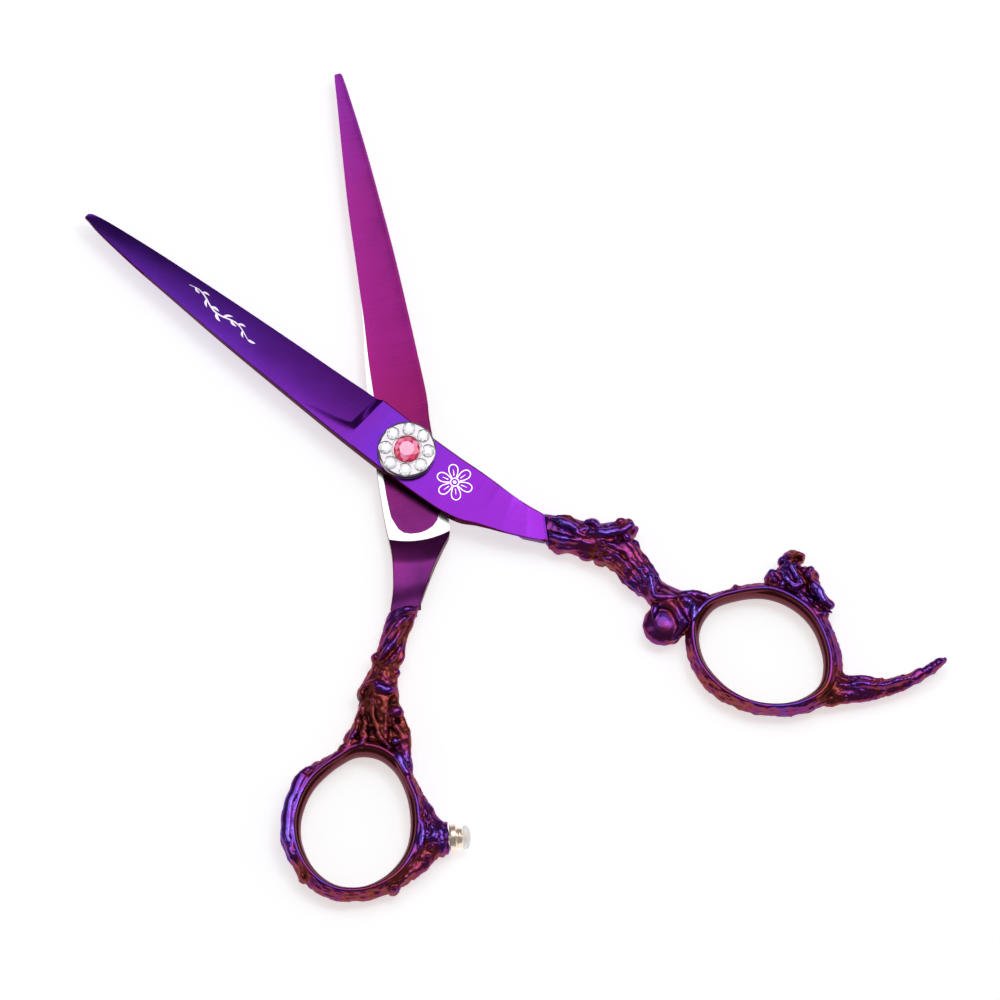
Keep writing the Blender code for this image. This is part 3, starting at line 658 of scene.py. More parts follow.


# Strokes are tubes laid on the upper face, and lumps (x y z, three radii, turn in degrees) are balls.
# Both are repeated on the lower face.  Tints (x y reach amount) are parts of a casting that came out
# more violet or more copper, except two on the finger's pearl, which are a painted highlight and a painted
# reflection.  Scales and calm spots (x y reach) are where it is scaly or smooth.
FINGER_STROKES = strokes("""
snout and lower jaw that hold the blade:
27.1 4.3 4.6 .55, 29.3 4.8 4.95 .65, 31.8 4.9 5 .6, 33.2 4.5 4.9 .5;
28.1 1.9 4.6 .5, 29.5 2 4.95 .55, 31.1 2.6 4.9 .5, 32.3 3.3 4.8 .45, 33.3 4.2 4.9 .4;
27.6 5.5 3.7 .4, 29.5 6 3.9 .5, 31.6 6.3 4 .45;
28.4 .7 3.6 .45, 31.5 1.5 3.9 .45, 34.5 3 4 .4;
41 3.3 3.9 .45, 44 2.9 3.9 .45, 47 2.2 3.8 .4;
eye, with its lid:
33.4 6.5 5.1 .3, 34.2 5.8 5.2 .3, 33.5 5 5.15 .28, 32.6 5.6 5.1 .3, 33.3 6.5 5.1 .3;
horn:
34.4 6.1 4.8 .55, 36.3 7.4 5.1 .62, 37.9 9 5.1 .66, 39 10.5 5 .7, 39.3 11.2 4.6 .62;
mane:
36.3 5.4 4.9 .36, 38.3 6.1 5.2 .42, 40.3 6.4 5.25 .42, 41.8 5.9 5.2 .4, 43.8 5.4 5.1 .38,
45.8 5.1 5 .35, 47.3 4.3 4.9 .3;
39.4 8.9 4.5 .4, 40.8 7.9 4.8 .42, 42.8 7.1 4.8 .4, 44.8 6.4 4.7 .36, 46.8 6.1 4.6 .34,
48.3 5.7 4.5 .3;
38.3 7.7 4.9 .38, 40.3 7.2 5.1 .42, 42.1 6.5 5.1 .38, 44.3 5.9 5 .36, 46.2 5.7 4.9 .32;
36.8 4.7 4.8 .36, 38.8 5.1 5 .4, 40.8 4.9 5 .38, 42.8 4.4 5 .36, 44.8 4.1 4.9 .34, 46.3 4.1 4.8 .3;
39.9 9.9 3.6 .42, 41.6 8.7 4 .42, 43.6 7.8 4.1 .4, 45.9 7.1 4 .38, 48 6.5 3.9 .34;
37 3.9 4.6 .3, 40 3.9 4.7 .34, 43 3.5 4.6 .32, 46 3.2 4.5 .3;
claw over the pearl:
46.3 5.9 4.7 .42, 47.3 5 5 .5, 47.9 4 5 .52, 48.7 3.3 4.9 .5, 49.9 3 4.9 .5, 51.1 3.5 5.1 .52,
52.1 4.1 5.2 .5, 53 4.6 5.2 .42;
50.3 1.7 3.9 .6, 51.9 2.8 4.4 .72, 53.9 3 4.6 .75, 55.9 2.2 4.5 .7, 57.2 .6 4.1 .6;
51.4 2.6 4.6 .5, 51.1 1.4 5 .42, 51.3 .2 5.2 .34, 51.7 -.8 5.1 .22;
56.4 1.9 4.4 .5, 56.9 .2 4.3 .42, 56.7 -1.3 4 .35, 56.1 -2.4 3.7 .24;
scales' ridge at the ring:
56 5.3 5.1 .42, 56.8 4.2 5.3 .5, 57.4 2.9 5.2 .42;
53 6.2 4.2 .5, 55.2 7.1 4.2 .55, 57.3 8.2 4.2 .5;
head on the ring: horn loop, jaws, tongue:
64.3 21 4.5 .36, 66.2 20.2 5 .4, 68.1 19.4 5.2 .42, 69.2 18.8 5.2 .42, 68.4 18 5.2 .42,
66.9 18.2 5.1 .4, 65.4 18.8 4.8 .36, 64.4 18.7 4.3 .3;
70.2 20.5 4.6 .5, 71.2 20 4.9 .62, 72.6 19.3 5 .62, 74.2 18.8 4.9 .6, 75.8 18.6 4.6 .5;
69.7 16.9 4.6 .45, 71.6 16.8 4.8 .45, 73.6 16.4 4.8 .42, 75 16.5 4.7 .42, 75.6 17.1 4.6 .36;
70.6 17.9 4.2 .36, 72.6 17.6 4.3 .34, 74.2 17.4 4.2 .26;
ridge along the tang:
84.6 7.6 4.7 .5, 88 9.8 4.6 .46, 91.2 12.2 4.4 .42, 93.8 15.6 4.1 .38, 95.6 19 3.7 .3,
96.5 21.4 3.3 .2;
84 9.6 4.2 .45, 87 10.6 4.2 .4, 90.2 12.8 4 .36""")
FINGER_LUMPS = rows("""
33.4 5.75 4.9 .5 .5 .55 0, 33.6 7.9 3.8 1.3 .95 1.5 0, 32.6 7.4 4.2 .7 .6 .8 0,
34.5 7.8 4.4 .6 .6 .7 0, 37.2 10.7 3.6 .9 1.25 1.6 -30, 39.7 10.7 3.3 .9 1.2 1.6 0,
36.4 9.3 4 .7 .9 1.1 -30, 50.9 4.2 4.6 1.4 .8 .9 15, 54.6 5.3 4.5 1.4 1.1 1 0,
65.6 22.9 3.3 .9 1.15 1.8 0, 64.4 21.9 3.5 .9 .8 1.3 0, 66.4 21.4 3.9 .8 .8 1.2 0,
63.8 20.8 3 .7 .9 1.4 0, 65.3 20 4.2 .8 .6 .9 0, 69.3 20.8 4.5 .95 .8 1 0, 68 21.3 3.8 .8 .7 1.1 0,
70.9 20.7 3.5 .8 .7 1.1 0, 64.9 16.9 4.3 .9 .8 .9 0, 66.5 17.1 4.3 .7 .7 .8 0,
63.8 17.8 3.6 .8 .9 1.1 0, 67.8 16.6 4.5 .7 .5 .7 0, 60.4 11.9 3.6 .7 .9 1.6 40,
58.9 10 3.5 .6 .7 1.4 40, 69 22 3.5 .9 .8 1.4 0, 66.3 23.2 3.3 .8 .9 1.6 0, 39.6 9 3.3 1.2 1.2 1.9 0,
94.6 16.8 3.3 1.1 1.9 1.3 -24, 95.7 19 3.2 .95 1.8 1.2 -20, 96.4 20.8 3.1 .8 1.4 1.05 -15,
72.2 17.9 3.2 1.7 .8 .8 -5, 38 3.2 3.7 1.2 .7 1 10, 31 .9 3.2 1.1 .6 .9 25, 35.6 2.4 3 1.3 .6 .9 25""")
# On the pearl, 52.2 1.2 is a painted highlight, a violet crescent, and 54.4 -.9 is a painted reflection, a magenta
# spot
FINGER_TINTS = rows("""
30 3.8 4 .16, 36.8 8 2.6 .3, 37 11 1.3 -.45, 37.5 3 5 -.22, 48.5 4 3 .1, 53.4 3.2 1.6 -.35,
53.2 -.4 2.8 .06, 52.2 1.2 1 .25, 54.4 -.9 1 -.22, 56.6 4.2 1.6 .35, 65.5 22.8 1.6 -.45,
72.5 19.3 1.6 .3, 73 17.8 1.2 -.05, 66.5 19.2 2 .22, 84.2 5.5 2.6 -.45, 86.8 8.6 2.4 .08, 70 -5 6 -.2,
92 12.6 3.5 -.1, 78 -2 4 .08, 29.5 6.6 1.4 -.35""")
FINGER_SCALES = rows("""
44.5 4.6 3, 38.5 4.4 2.6, 56.2 3.6 2.6, 57.4 7.4 2.4, 86 7.6 2.6, 90.5 11 2.4, 93.8 15 1.6""")
FINGER_CALM = rows("53.4 -.3 3.5")
THUMB_STROKES = strokes("""
twist above the joint:
27.7 -5.2 4.3 .45, 27.5 -6.2 4.75 .5, 27.6 -7.6 4.5 .45, 28.2 -8.8 4 .35;
28.8 -6.7 4.7 .35, 29 -7.7 4.9 .42, 30.1 -9.2 4.9 .45, 31.3 -10.6 4.8 .42, 32.8 -12.2 4.3 .36;
30 -7.2 4.5 .35, 31.2 -8.4 4.9 .42, 32.9 -10.3 5 .46, 34.2 -12.4 4.8 .4, 34.8 -13.6 4.2 .34;
32.2 -8.2 4.2 .35, 33.6 -9.2 4.6 .4, 35 -11 4.9 .42, 36 -13 4.6 .36;
29.6 -10.4 3.4 .4, 32.6 -12.6 3.4 .4, 35.6 -14.2 3.4 .4;
31 -7.5 3.4 .4, 34 -8.9 3.4 .42, 36.4 -10.7 3.5 .4;
brow and cheek:
40.4 -11.9 4.3 .55, 40.2 -13.2 5 .7, 39.8 -14.7 5 .68, 39.4 -16 4.5 .5;
38.9 -13.9 4.6 .42, 38.6 -15.3 4.8 .5, 38.9 -16.7 4.4 .46, 39.8 -17.6 4 .5;
41.2 -12.4 4.4 .5, 42.5 -12.6 4.7 .6, 43.4 -13.6 4.7 .4;
long strands towards the ring:
40.6 -15.8 4.9 .36, 43.3 -16.5 5.2 .4, 45.8 -16.6 5.2 .4, 48.3 -16.2 5 .36, 50.4 -15.2 4.8 .36;
44.4 -17.9 4.9 .42, 46.3 -18.4 5.2 .5, 48.8 -19.6 5.1 .5, 49 -20.9 4.9 .42;
43 -18.7 4.4 .4, 45 -19.5 4.9 .42, 47 -20.8 5 .44, 48.6 -22.6 4.8 .44, 49.2 -24.4 4.5 .36;
44.6 -14.6 4.9 .36, 46.6 -15.3 4.9 .4, 48.6 -15.2 4.8 .36;
45.7 -11.9 3.9 .6, 48.1 -12.2 4.1 .66, 50.7 -12.5 4.1 .6, 53.3 -12.7 4.1 .55, 56.4 -12.9 4.2 .4;
51.4 -15 4.7 .5, 53.3 -14.2 4.9 .62, 55.3 -13.6 4.9 .58, 57.4 -13.2 4.8 .45;
45.2 -13.2 4.7 .36, 47.4 -13.4 4.8 .4, 49.2 -13 4.7 .4, 51.4 -13.2 4.6 .4;
broad ridge low on the ring, and the rope under the boss:
50.6 -28.2 4.2 .3, 51.6 -30.2 4.6 .62, 53.4 -32.3 4.8 .82, 55.8 -34.1 4.9 .88, 58.8 -35.3 4.9 .88,
62 -35.9 4.8 .78, 65.4 -35.9 4.5 .5, 67.4 -35.5 4.3 .25;
62 -13 4.6 .36, 64.6 -13.2 4.9 .42, 67.2 -13.7 5 .46, 69.4 -15 4.9 .46, 71.2 -17 4.6 .36;
71.6 -15 3.9 .5, 73.6 -17.8 4 .5, 75 -21.2 3.9 .45""")
THUMB_LUMPS = rows("""
32.8 -10.2 4.4 1.1 .9 .9 -50, 37.4 -10.9 3.5 .62 .62 .9 0, 38.9 -11.5 3.5 .6 .55 .9 0,
40.3 -11.9 3.6 .55 .5 .8 0, 39.7 -17.7 3.4 1.2 .85 1.7 0, 44.5 -12.9 4.2 1.45 1.5 1.45 0,
42.6 -12.8 4 .8 .8 1.1 0, 46.6 -14.5 4.3 .6 .5 .8 0, 49.7 -14 4.7 .75 .75 .7 0,
46.2 -17.6 4.6 .9 .6 .7 -20, 48.2 -20.9 4.5 .9 .8 .8 0, 48.3 -23.2 3.4 .6 .8 1.4 0,
69.2 -35.2 3.5 1.1 .7 1.3 25, 64.4 -11.9 4 .8 .6 1 0, 66.1 -11.6 4.7 .6 .6 .6 0,
67.9 -12 4.9 .6 .6 .6 0, 69.6 -12.8 4.5 .6 .6 .8 0, 62.6 -12.1 3.5 .7 .5 1.1 0,
66.8 -12.6 4.9 .5 .4 .5 0, 71 -13.6 3.6 .7 .8 1.3 0, 75 -20.4 3.4 .6 1.1 1.2 10,
45.4 -20.1 3.6 .8 .6 1.4 -40, 42.2 -18.3 3.4 .8 .5 1.3 -10, 42.2 -15.2 4.9 .9 .6 .6 10,
43.4 -16.9 4.8 .8 .6 .6 60, 46.4 -16.2 4.9 .8 .9 .6 0, 67.83 -10.45 3.5 3.3 1.2 2.1 -11,
67.6 -11.6 3.4 3.1 1.2 2 -11, 37 -13.6 4.6 .9 .7 .6 -30, 36.2 -14.6 3.6 1 .6 1 -30,
33.9 -13.8 3.5 .9 .6 1 -35""")
THUMB_TINTS = rows("""
40 -15 14 -.1, 73 -26 7 -.08, 26.8 -6.3 1.6 .1, 28.8 -8.4 1.6 .1, 32.7 -10.4 1.7 .12, 31 -7.6 2 -.45,
36.5 -12.8 2.6 -.38, 40.1 -13.5 1.3 .4, 39.6 -17.8 1.8 -.3, 42.6 -12.6 1.2 -.5, 44.6 -12.9 1.3 .2,
45.5 -17.6 3.4 -.5, 48.5 -12.3 3.6 -.38, 49.7 -14 1 .4, 53.6 -13.9 1.8 .4, 47.8 -20.6 2.2 .02,
48 -23.4 1.6 -.35, 55.5 -34.4 5 .27, 62.5 -36.2 3 .25, 69.3 -35.2 1.7 -.4, 66.8 -13.8 2.6 .2,
67.9 -10.4 1.8 .22, 73.6 -19 4 -.22, 70.4 -12.6 1.8 -.3, 75 -26 4 -.1, 42.5 -15 2 -.2""")
THUMB_SCALES = rows("36 -12.4 2, 46.5 -19 2.4, 68.5 -13.5 3")
THUMB_CALM = rows("53.4 -32.3 1.7, 56 -34.3 1.8, 59 -35.4 1.8, 62 -36 1.7")


def ring_centre(hole, turn):
    """The middle of a ring's opening, turned about the pivot."""
    low, high = named(frame["record"]["physics"]["openings"], hole)["box_m"]
    x, y, _ = [(a + b) / 2 * TO_MM for a, b in zip(low, high)]
    c, s = math.cos(turn), math.sin(turn)
    return x * c - y * s, x * s + y * c


def hole_loop(tree, centre):
    """The ring's inner wall halfway up, found by looking outwards from the middle of the hole."""
    start = Vector((*centre, HANDLE_MID))
    spots = [tree.ray_cast(start, Vector((math.cos(turn), math.sin(turn), 0)))[0] for turn in turns(240)]
    return np.array([(spot.x, spot.y) for spot in spots])


def outward_normals(loop):
    along = np.roll(loop, -1, axis=0) - np.roll(loop, 1, axis=0)
    along /= np.linalg.norm(along, axis=1)[:, None]
    out = np.stack([along[:, 1], -along[:, 0]], axis=1)
    return -out if np.sum(out * (loop - loop.mean(axis=0))) < 0 else out


def distance_to_loop(xy, loop):
    """Distance from each point to the nearest of a loop's points, and that point's place along it."""
    tree = KDTree(len(loop))
    for i, (x, y) in enumerate(loop):
        tree.insert((x, y, 0), i)
    tree.balance()
    found = [tree.find((x, y, 0)) for x, y in xy]
    return np.array([f[2] for f in found]), np.array([f[1] for f in found])


def wall_widths(tree, loop, out):
    """How wide the ring is outside each point of its hole, evened out along the loop."""
    widths = []
    for (x, y), (nx, ny) in zip(loop, out):
        spot = tree.ray_cast(Vector((x + nx * 0.1, y + ny * 0.1, HANDLE_MID)), Vector((nx, ny, 0)))[0]
        widths.append(min(math.hypot(spot.x - x, spot.y - y), WIDEST_WALL) if spot else WIDEST_WALL)
    widths = np.array(widths)
    for _ in range(12):
        widths = (np.roll(widths, 1) + widths + np.roll(widths, -1)) / 3
    return widths


def voxel_union(meshes):
    """One closed skin round overlapping closed meshes."""
    bm = bmesh.new()
    for mesh in meshes:
        bm.from_mesh(mesh)
    obj = add_object("joined", mesh_of(bm))
    remesh = obj.modifiers.new("Skin", "REMESH")
    remesh.mode, remesh.voxel_size = "VOXEL", VOXEL
    skin = evaluated_mesh(obj)
    bpy.data.objects.remove(obj)
    return skin


def relief_mesh(stroke_rows, lumps, bead):
    bm = bmesh.new()
    for side in (1, -1):
        for stroke in stroke_rows:
            path = catmull(stroke, 6)
            path[:, 3] *= STROKE_SWELL * (1 + 0.2 * value_noise(path[:, :3] + 50, 1.3, 3))
            ends = np.minimum(np.arange(len(path)), np.arange(len(path))[::-1]) / 5
            path[:, 3] *= np.clip(0.45 + 0.55 * ends, 0, 1)
            for axis in (0, 1):
                path[:, axis] += STROKE_WOBBLE * value_noise(path[:, :3], 2.2, 17 + axis)
            path[:, 2] = np.minimum(path[:, 2] + STROKE_LIFT, HANDLE_HIGH - 0.05 - path[:, 3])
            path[:, 2] = HANDLE_MID + side * (path[:, 2] - HANDLE_MID)
            tube_mesh(bm, path)
        for x, y, z, rx, ry, rz, turn in lumps:
            ball = bmesh.ops.create_uvsphere(bm, u_segments=16, v_segments=10, radius=1.0)
            place = Matrix.Translation((x, y, HANDLE_MID + side * (z - HANDLE_MID)))
            place = place @ Matrix.Rotation(math.radians(turn), 4, "Z") @ Matrix.Diagonal((rx, ry, rz, 1))
            bmesh.ops.transform(bm, matrix=place, verts=ball["verts"])
        closed = np.vstack([bead, bead[:2]])
        level = HANDLE_MID + side * (BEAD_LEVEL - HANDLE_MID)
        tube_mesh(bm, np.column_stack([closed, np.full(len(closed), level), np.full(len(closed), BEAD_R)]))
    return mesh_of(bm)


def spread(co, x, y, reach):
    """Squared distance from a spot in the plane, in reaches."""
    return ((co[:, 0] - x) ** 2 + (co[:, 1] - y) ** 2) / reach ** 2


def dot(a, b):
    return np.einsum("ij,ij->i", a, b)


def make_handle(half, seed, joint_x, material, stroke_rows, lumps, tints, scale_spots, calm_spots):
    """A dragon handle: the plain casting thinned along Z, with strokes, lumps and scales on both faces."""
    closed = half == "thumb"
    plain = frame["nodes"][f"{half}_handle"].data.copy()
    plain.transform(Matrix.Scale(TO_MM, 4))
    if closed:
        plain.transform(REST_TO_CLOSED)
    bm = bmesh.new()
    bm.from_mesh(plain)
    bmesh.ops.remove_doubles(bm, verts=bm.verts, dist=1e-4)
    bm.to_mesh(plain)
    tree = BVHTree.FromBMesh(bm)
    bm.free()
    loop = hole_loop(tree, ring_centre(f"{half}_ring_hole", REST_OPEN if closed else 0.0))
    out = outward_normals(loop)
    widths = wall_widths(tree, loop, out)
    co = array_of(plain.vertices, "co")
    co[:, 2] = HANDLE_MID + (co[:, 2] - HANDLE_MID) * BASE_SQUASH
    set_vertices(plain, co)
    bead = loop + out * (widths * BEAD_SHARE)[:, None]
    skin = voxel_union([plain, relief_mesh(stroke_rows, lumps, bead)])
    bpy.data.meshes.remove(plain)

    # The skin is evened out, and what hangs into the hole is pushed back to its wall
    edges = array_of(skin.edges, "vertices", 2, int)
    co = smoothed(array_of(skin.vertices, "co"), edges, 5)
    from_hole, place = distance_to_loop(co[:, :2], loop)
    depth = dot(co[:, :2] - loop[place], out[place])
    co[:, :2] += out[place] * np.where(from_hole < 1.5, np.clip(-depth, 0, None), 0)[:, None]
    set_vertices(skin, co)

    # Scales run round the ring near it and lie loose elsewhere
    normals = array_of(skin.vertices, "normal")
    share = from_hole / widths[place]
    wall = smoothstep(0.3, 0.7, -dot(normals[:, :2], out[place])) * smoothstep(0.5, 0.3, share)
    near_ring = smoothstep(1.5, 1.1, share)
    scaly = 0.9 * near_ring * smoothstep(0.55, 0.75, share)
    for spot in scale_spots:
        scaly = np.maximum(scaly, np.exp(-spread(co, *spot)))
    calm = np.zeros(len(co))
    for spot in calm_spots:
        calm = np.maximum(calm, np.exp(-spread(co, *spot) ** 3))
    around = place / len(loop) * 2 * math.pi * SCALES_ROUND_RING
    flow = np.column_stack([around * 0.55, from_hole * 1.5, co[:, 2] * 1.2])
    loose = co * np.array([0.75, 1.2, 1.0])
    first, second = cell_noise(flow * near_ring[:, None] + loose * (1 - near_ring)[:, None], 0.8, seed)
    scales = np.clip(second - first, 0, 0.5) * 2 - 0.5
    creases = value_noise(co, 1.3, seed + 7) + 0.4 * value_noise(co, 0.6, seed + 9)
    joint = smoothstep(joint_x + 1.2, joint_x + 0.2, co[:, 0])
    rough = (1 - wall) * (1 - joint) * smoothstep(0.5, 0.65, share) * (1 - calm)
    shift = rough * (SCALE_HEIGHT * scales * scaly + CREASE_HEIGHT * creases)
    co = co + normals * shift[:, None]
    co[:, 2] = np.clip(co[:, 2], HANDLE_LOW + FACE_MARGIN, HANDLE_HIGH - FACE_MARGIN)
    set_vertices(skin, co)

    proud = dot(co - smoothed(co, edges, 24), normals)
    relief = MIDDLE_HUE + proud * HUE_PER_MM + 0.14 * scales * scaly * rough
    relief += 0.18 * (np.abs(normals[:, 2]) - 0.6)
    for x, y, reach, amount in tints:
        relief += (amount if amount > 0 else COPPER_SHARE * amount) * np.exp(-spread(co, x, y, reach))
    set_attribute(skin, "relief", np.clip(relief, 0, 1))
    set_attribute(skin, "wall", wall)
    finish_piece(f"{half}_dragon", skin, material, f"{half}_half", f"{half}_handle")


# ---- pivot and bumper

def lathe(profile, steps, flutes=lambda turn, radius, height: radius):
    """A bmesh turned about Z from (radius, height) rows.  flutes may change a radius."""
    bm = bmesh.new()
    rounds = []
    for radius, height in profile:
        rounds.append([])
        for turn in turns(steps if radius else 1):
            r = flutes(turn, radius, height)
            rounds[-1].append(bm.verts.new((r * math.cos(turn), r * math.sin(turn), height)))
    for near, far in zip(rounds, rounds[1:]):
        band(bm, near, far)
    bmesh.ops.recalc_face_normals(bm, faces=bm.faces)
    return bm


STONE_SEAT = DIAL_HIGH - 0.08 - 0.35
SEAT_R, CENTRE_SEAT_R = 1.2, 2.42
THREAD_R = 2.34
CLEAR_NODES = [f"clear_stone_{i}" for i in range(1, 9)]


def node_middle(node):
    low, high = box_mm(node)
    return (low + high) / 2


def make_dial(material):
    rim, low, r, seat = DIAL_HIGH - 0.08, DIAL_LOW, DIAL_R, CENTRE_SEAT_R
    profile = (
        (0, STONE_SEAT), (seat, STONE_SEAT), (seat, rim + 0.03), (seat + 0.05, rim + 0.08),
        (seat + 0.16, rim + 0.08), (seat + 0.24, rim + 0.01), (3.7, rim + 0.02), (r - 0.45, rim),
        (r - 0.2, rim - 0.04), (r - 0.05, rim - 0.14), (r, rim - 0.3), (r, low + 0.5), (r - 0.08, low + 0.44),
        (r - 0.08, low + 0.34), (r, low + 0.28), (r, low + 0.12), (r - 0.12, low), (4.3, low),
        (4.3, low + 0.4), (THREAD_R, low + 0.4), (THREAD_R, STONE_SEAT - 0.2), (0, STONE_SEAT - 0.2))
    seats = [(*node_middle(node)[:2], SEAT_R, STONE_SEAT, 9.0) for node in CLEAR_NODES]
    mesh = cut(mesh_of(lathe(profile, 144)), *seats)
    finish_piece("dial_disc", mesh, material, "tension_dial", "tension_dial", 30)


GIRDLE = 0.06


def brilliant(radius, bottom, girdle, top, table_share):
    """A cut stone: table, star, kite and girdle facets above, and a flat back."""
    bm = bmesh.new()

    def ring(count, r, z, shift=0.0):
        return [bm.verts.new((r * math.cos(a), r * math.sin(a), z)) for a in turns(count, shift)]

    table = ring(8, radius * table_share, top, 0.5)
    middle = ring(8, radius * 0.8, girdle + (top - girdle) * 0.58)
    rim = ring(16, radius, girdle)
    base = ring(16, radius, girdle - GIRDLE)
    back = ring(16, radius * 0.55, bottom)
    bm.faces.new(table)
    for k in range(8):
        bm.faces.new((table[k - 1], middle[k], table[k]))
        bm.faces.new((table[k], middle[k], rim[2 * k + 1], middle[(k + 1) % 8]))
        bm.faces.new((middle[k], rim[2 * k], rim[2 * k + 1]))
        bm.faces.new((middle[k], rim[2 * k - 1], rim[2 * k]))
    band(bm, rim, base)
    band(bm, base, back)
    bm.faces.new(back[::-1])
    bmesh.ops.recalc_face_normals(bm, faces=bm.faces)
    return bm


def make_stone(name, node, sizes, seed, table_highlight, turn, material):
    """A cut stone over a node, with painted light from 0 to 1 on each facet and a painted highlight on its
    table.  sizes are its radius, its girdle's height and its table's share."""
    low, high = box_mm(node)
    radius, girdle, table_share = sizes
    bm = brilliant(radius, low[2] + 0.02, low[2] + girdle, high[2] - 0.02, table_share)
    outer = max(vert.co.xy.length for vert in bm.verts)
    reach = np.array([face.calc_center_median().xy.length / outer for face in bm.faces])
    x, y, _ = node_middle(node)
    mesh = mesh_of(bm, Matrix.Translation((x, y, 0)) @ Matrix.Rotation(turn, 4, "Z"))
    facet_lights = hashed(np.array([[face.index, seed, 5] for face in mesh.polygons]), 3)
    facet_lights = np.where(reach > 0.88, 0.3 * facet_lights, 0.35 + 0.65 * facet_lights) * np.where(facet_lights < 0.15, 0.5, 1.0)
    # Painted reflection: the table is made bright
    facet_lights[0] = table_highlight
    set_attribute(mesh, "facet_light", facet_lights, "FACE")
    finish_piece(name, mesh, material, "tension_dial", node, 1)


def make_bolt(material):
    """The bolt's flat head at the back, with two spanner holes and a fine groove."""
    top = box_mm("pivot_bolt")[1][2]
    profile = (
        (0, top), (2.05, top), (2.25, top - 0.2), (2.25, 1.0), (4.2, 1.0), (4.42, 0.92), (4.5, 0.74),
        (4.5, 0.26), (4.42, 0.09), (4.22, 0.0), (3.75, 0.0), (3.7, 0.06), (3.6, 0.06), (3.55, 0.0), (0, 0.0))
    mesh = cut(mesh_of(lathe(profile, 128)), (-2.9, 0, 0.55, -1, 0.6), (2.9, 0, 0.55, -1, 0.6))
    finish_piece("bolt_head", mesh, material, "thumb_half", "pivot_bolt", 30)


BUMPER_ROOT = (68.1, -9.2)
BUMPER_LEAN = math.radians(11.0)
FLUTES, FLUTE_DEPTH = 52, 0.01


def make_bumper(metal, clear):
    def flutes(turn, radius, height):
        fluted = 0.35 < height < 1.25 and radius > 1.5
        return radius * (1 - (FLUTE_DEPTH * (0.5 + 0.5 * math.cos(turn * FLUTES)) if fluted else 0))

    lean = Matrix.Rotation(-BUMPER_LEAN, 4, "Z")
    upright = Matrix.Rotation(math.radians(-90), 4, "X")
    place = Matrix.Translation((*BUMPER_ROOT, HANDLE_MID)) @ lean @ upright
    profile = rows(
        "0 3, .7 3, .8 2.92, .8 2.36, 1.55 2.36, 1.82 2.3, 1.88 2.18, 1.82 2.06, 1.7 2, 1.7 1.86, 1.86 1.8,"
        "1.9 1.7, 1.86 1.58, 1.7 1.5, 1.7 1.4, 2.28 1.34, 2.4 1.22, 2.4 1, 2.4 .8, 2.4 .6, 2.4 .42, 2.34 .3,"
        "2.2 .18, .9 .15, .9 -2.6, 0 -2.6")
    mesh = mesh_of(lathe(profile, 160, flutes), place)
    finish_piece("bumper_stem", mesh, metal, "thumb_half", "bumper_base", 30)
    rounded = [(2.08 * math.cos(a), 2.98 + 0.95 * math.sin(a)) for a in np.linspace(math.pi / 2, 0, 14)]
    rounded[0] = (0, rounded[0][1])
    under = rows("2.1 2.8, 2.06 2.62, 1.95 2.48, 1.6 2.44, .9 2.46, .9 3.08, 0 3.12")
    mesh = mesh_of(lathe([*rounded, *under], 96), place)
    finish_piece("bumper_cap", mesh, clear, "thumb_half", "bumper_dome", 50)


# ---- etched ornaments

ETCH_PROUD = 0.012


def ribbon(bm, points, widths):
    """A thin etched line that lies on the finger blade.  widths are half widths."""
    points, widths = np.asarray(points, float), np.asarray(widths, float)
    last = len(points) - 1
    rounds = []
    for i, (x, y) in enumerate(points):
        ahead = points[min(i + 1, last)] - points[max(i - 1, 0)]
        across = np.array([-ahead[1], ahead[0]]) / (np.linalg.norm(ahead) + 1e-9)
        rounds.append([])
        for side in (-1, -0.33, 0.33, 1):
            px, py = np.array([x, y]) + across * side * widths[i]
            spine, edge = column(FINGER_OUTLINE, 1, px), column(FINGER_OUTLINE, 2, px)
            level = float(finger_top(np.array(px), np.array((py - spine) / (edge - spine))))
            rounds[-1].append(bm.verts.new((px, py, level + ETCH_PROUD)))
    for near, far in zip(rounds, rounds[1:]):
        for k in range(3):
            bm.faces.new((near[k], far[k], far[k + 1], near[k + 1]))


def leaf(bm, x, y, heading, length, curl):
    """A leaf from its foot at (x, y)."""
    points, widths = [], []
    for i in range(13):
        t = i / 12
        turn = heading + curl * t
        points.append((x + length * t * math.cos(turn), y + length * t * math.sin(turn)))
        widths.append(0.02 + 0.16 * length * math.sin(math.pi * t) ** 0.8 * (1 - 0.45 * t))
    ribbon(bm, points, widths)


def make_sprig(material):
    """A leafy sprig etched on the finger blade."""
    bm = bmesh.new()
    stem, widths = [], []
    for i in range(61):
        t = i / 60
        stem.append((-48.2 + 14.0 * t, 4.1 - 2.3 * t + 0.55 * math.sin(2 * math.pi * 1.6 * t)))
        widths.append(0.05 + 0.09 * math.sin(math.pi * i / 60))
    ribbon(bm, stem, widths)
    for i, index in enumerate(range(5, 58, 6)):
        ahead = np.subtract(stem[index + 2], stem[index - 2])
        heading = math.atan2(ahead[1], ahead[0])
        side = 1 if i % 2 else -1
        leaf(bm, *stem[index], heading + side * 0.95, 1.75 - 0.45 * abs(i - 4) / 4, -side * 0.5)
    leaf(bm, *stem[-1], -0.1, 1.5, 0.2)
    finish_piece("etched_sprig", mesh_of(bm), material, "finger_half")


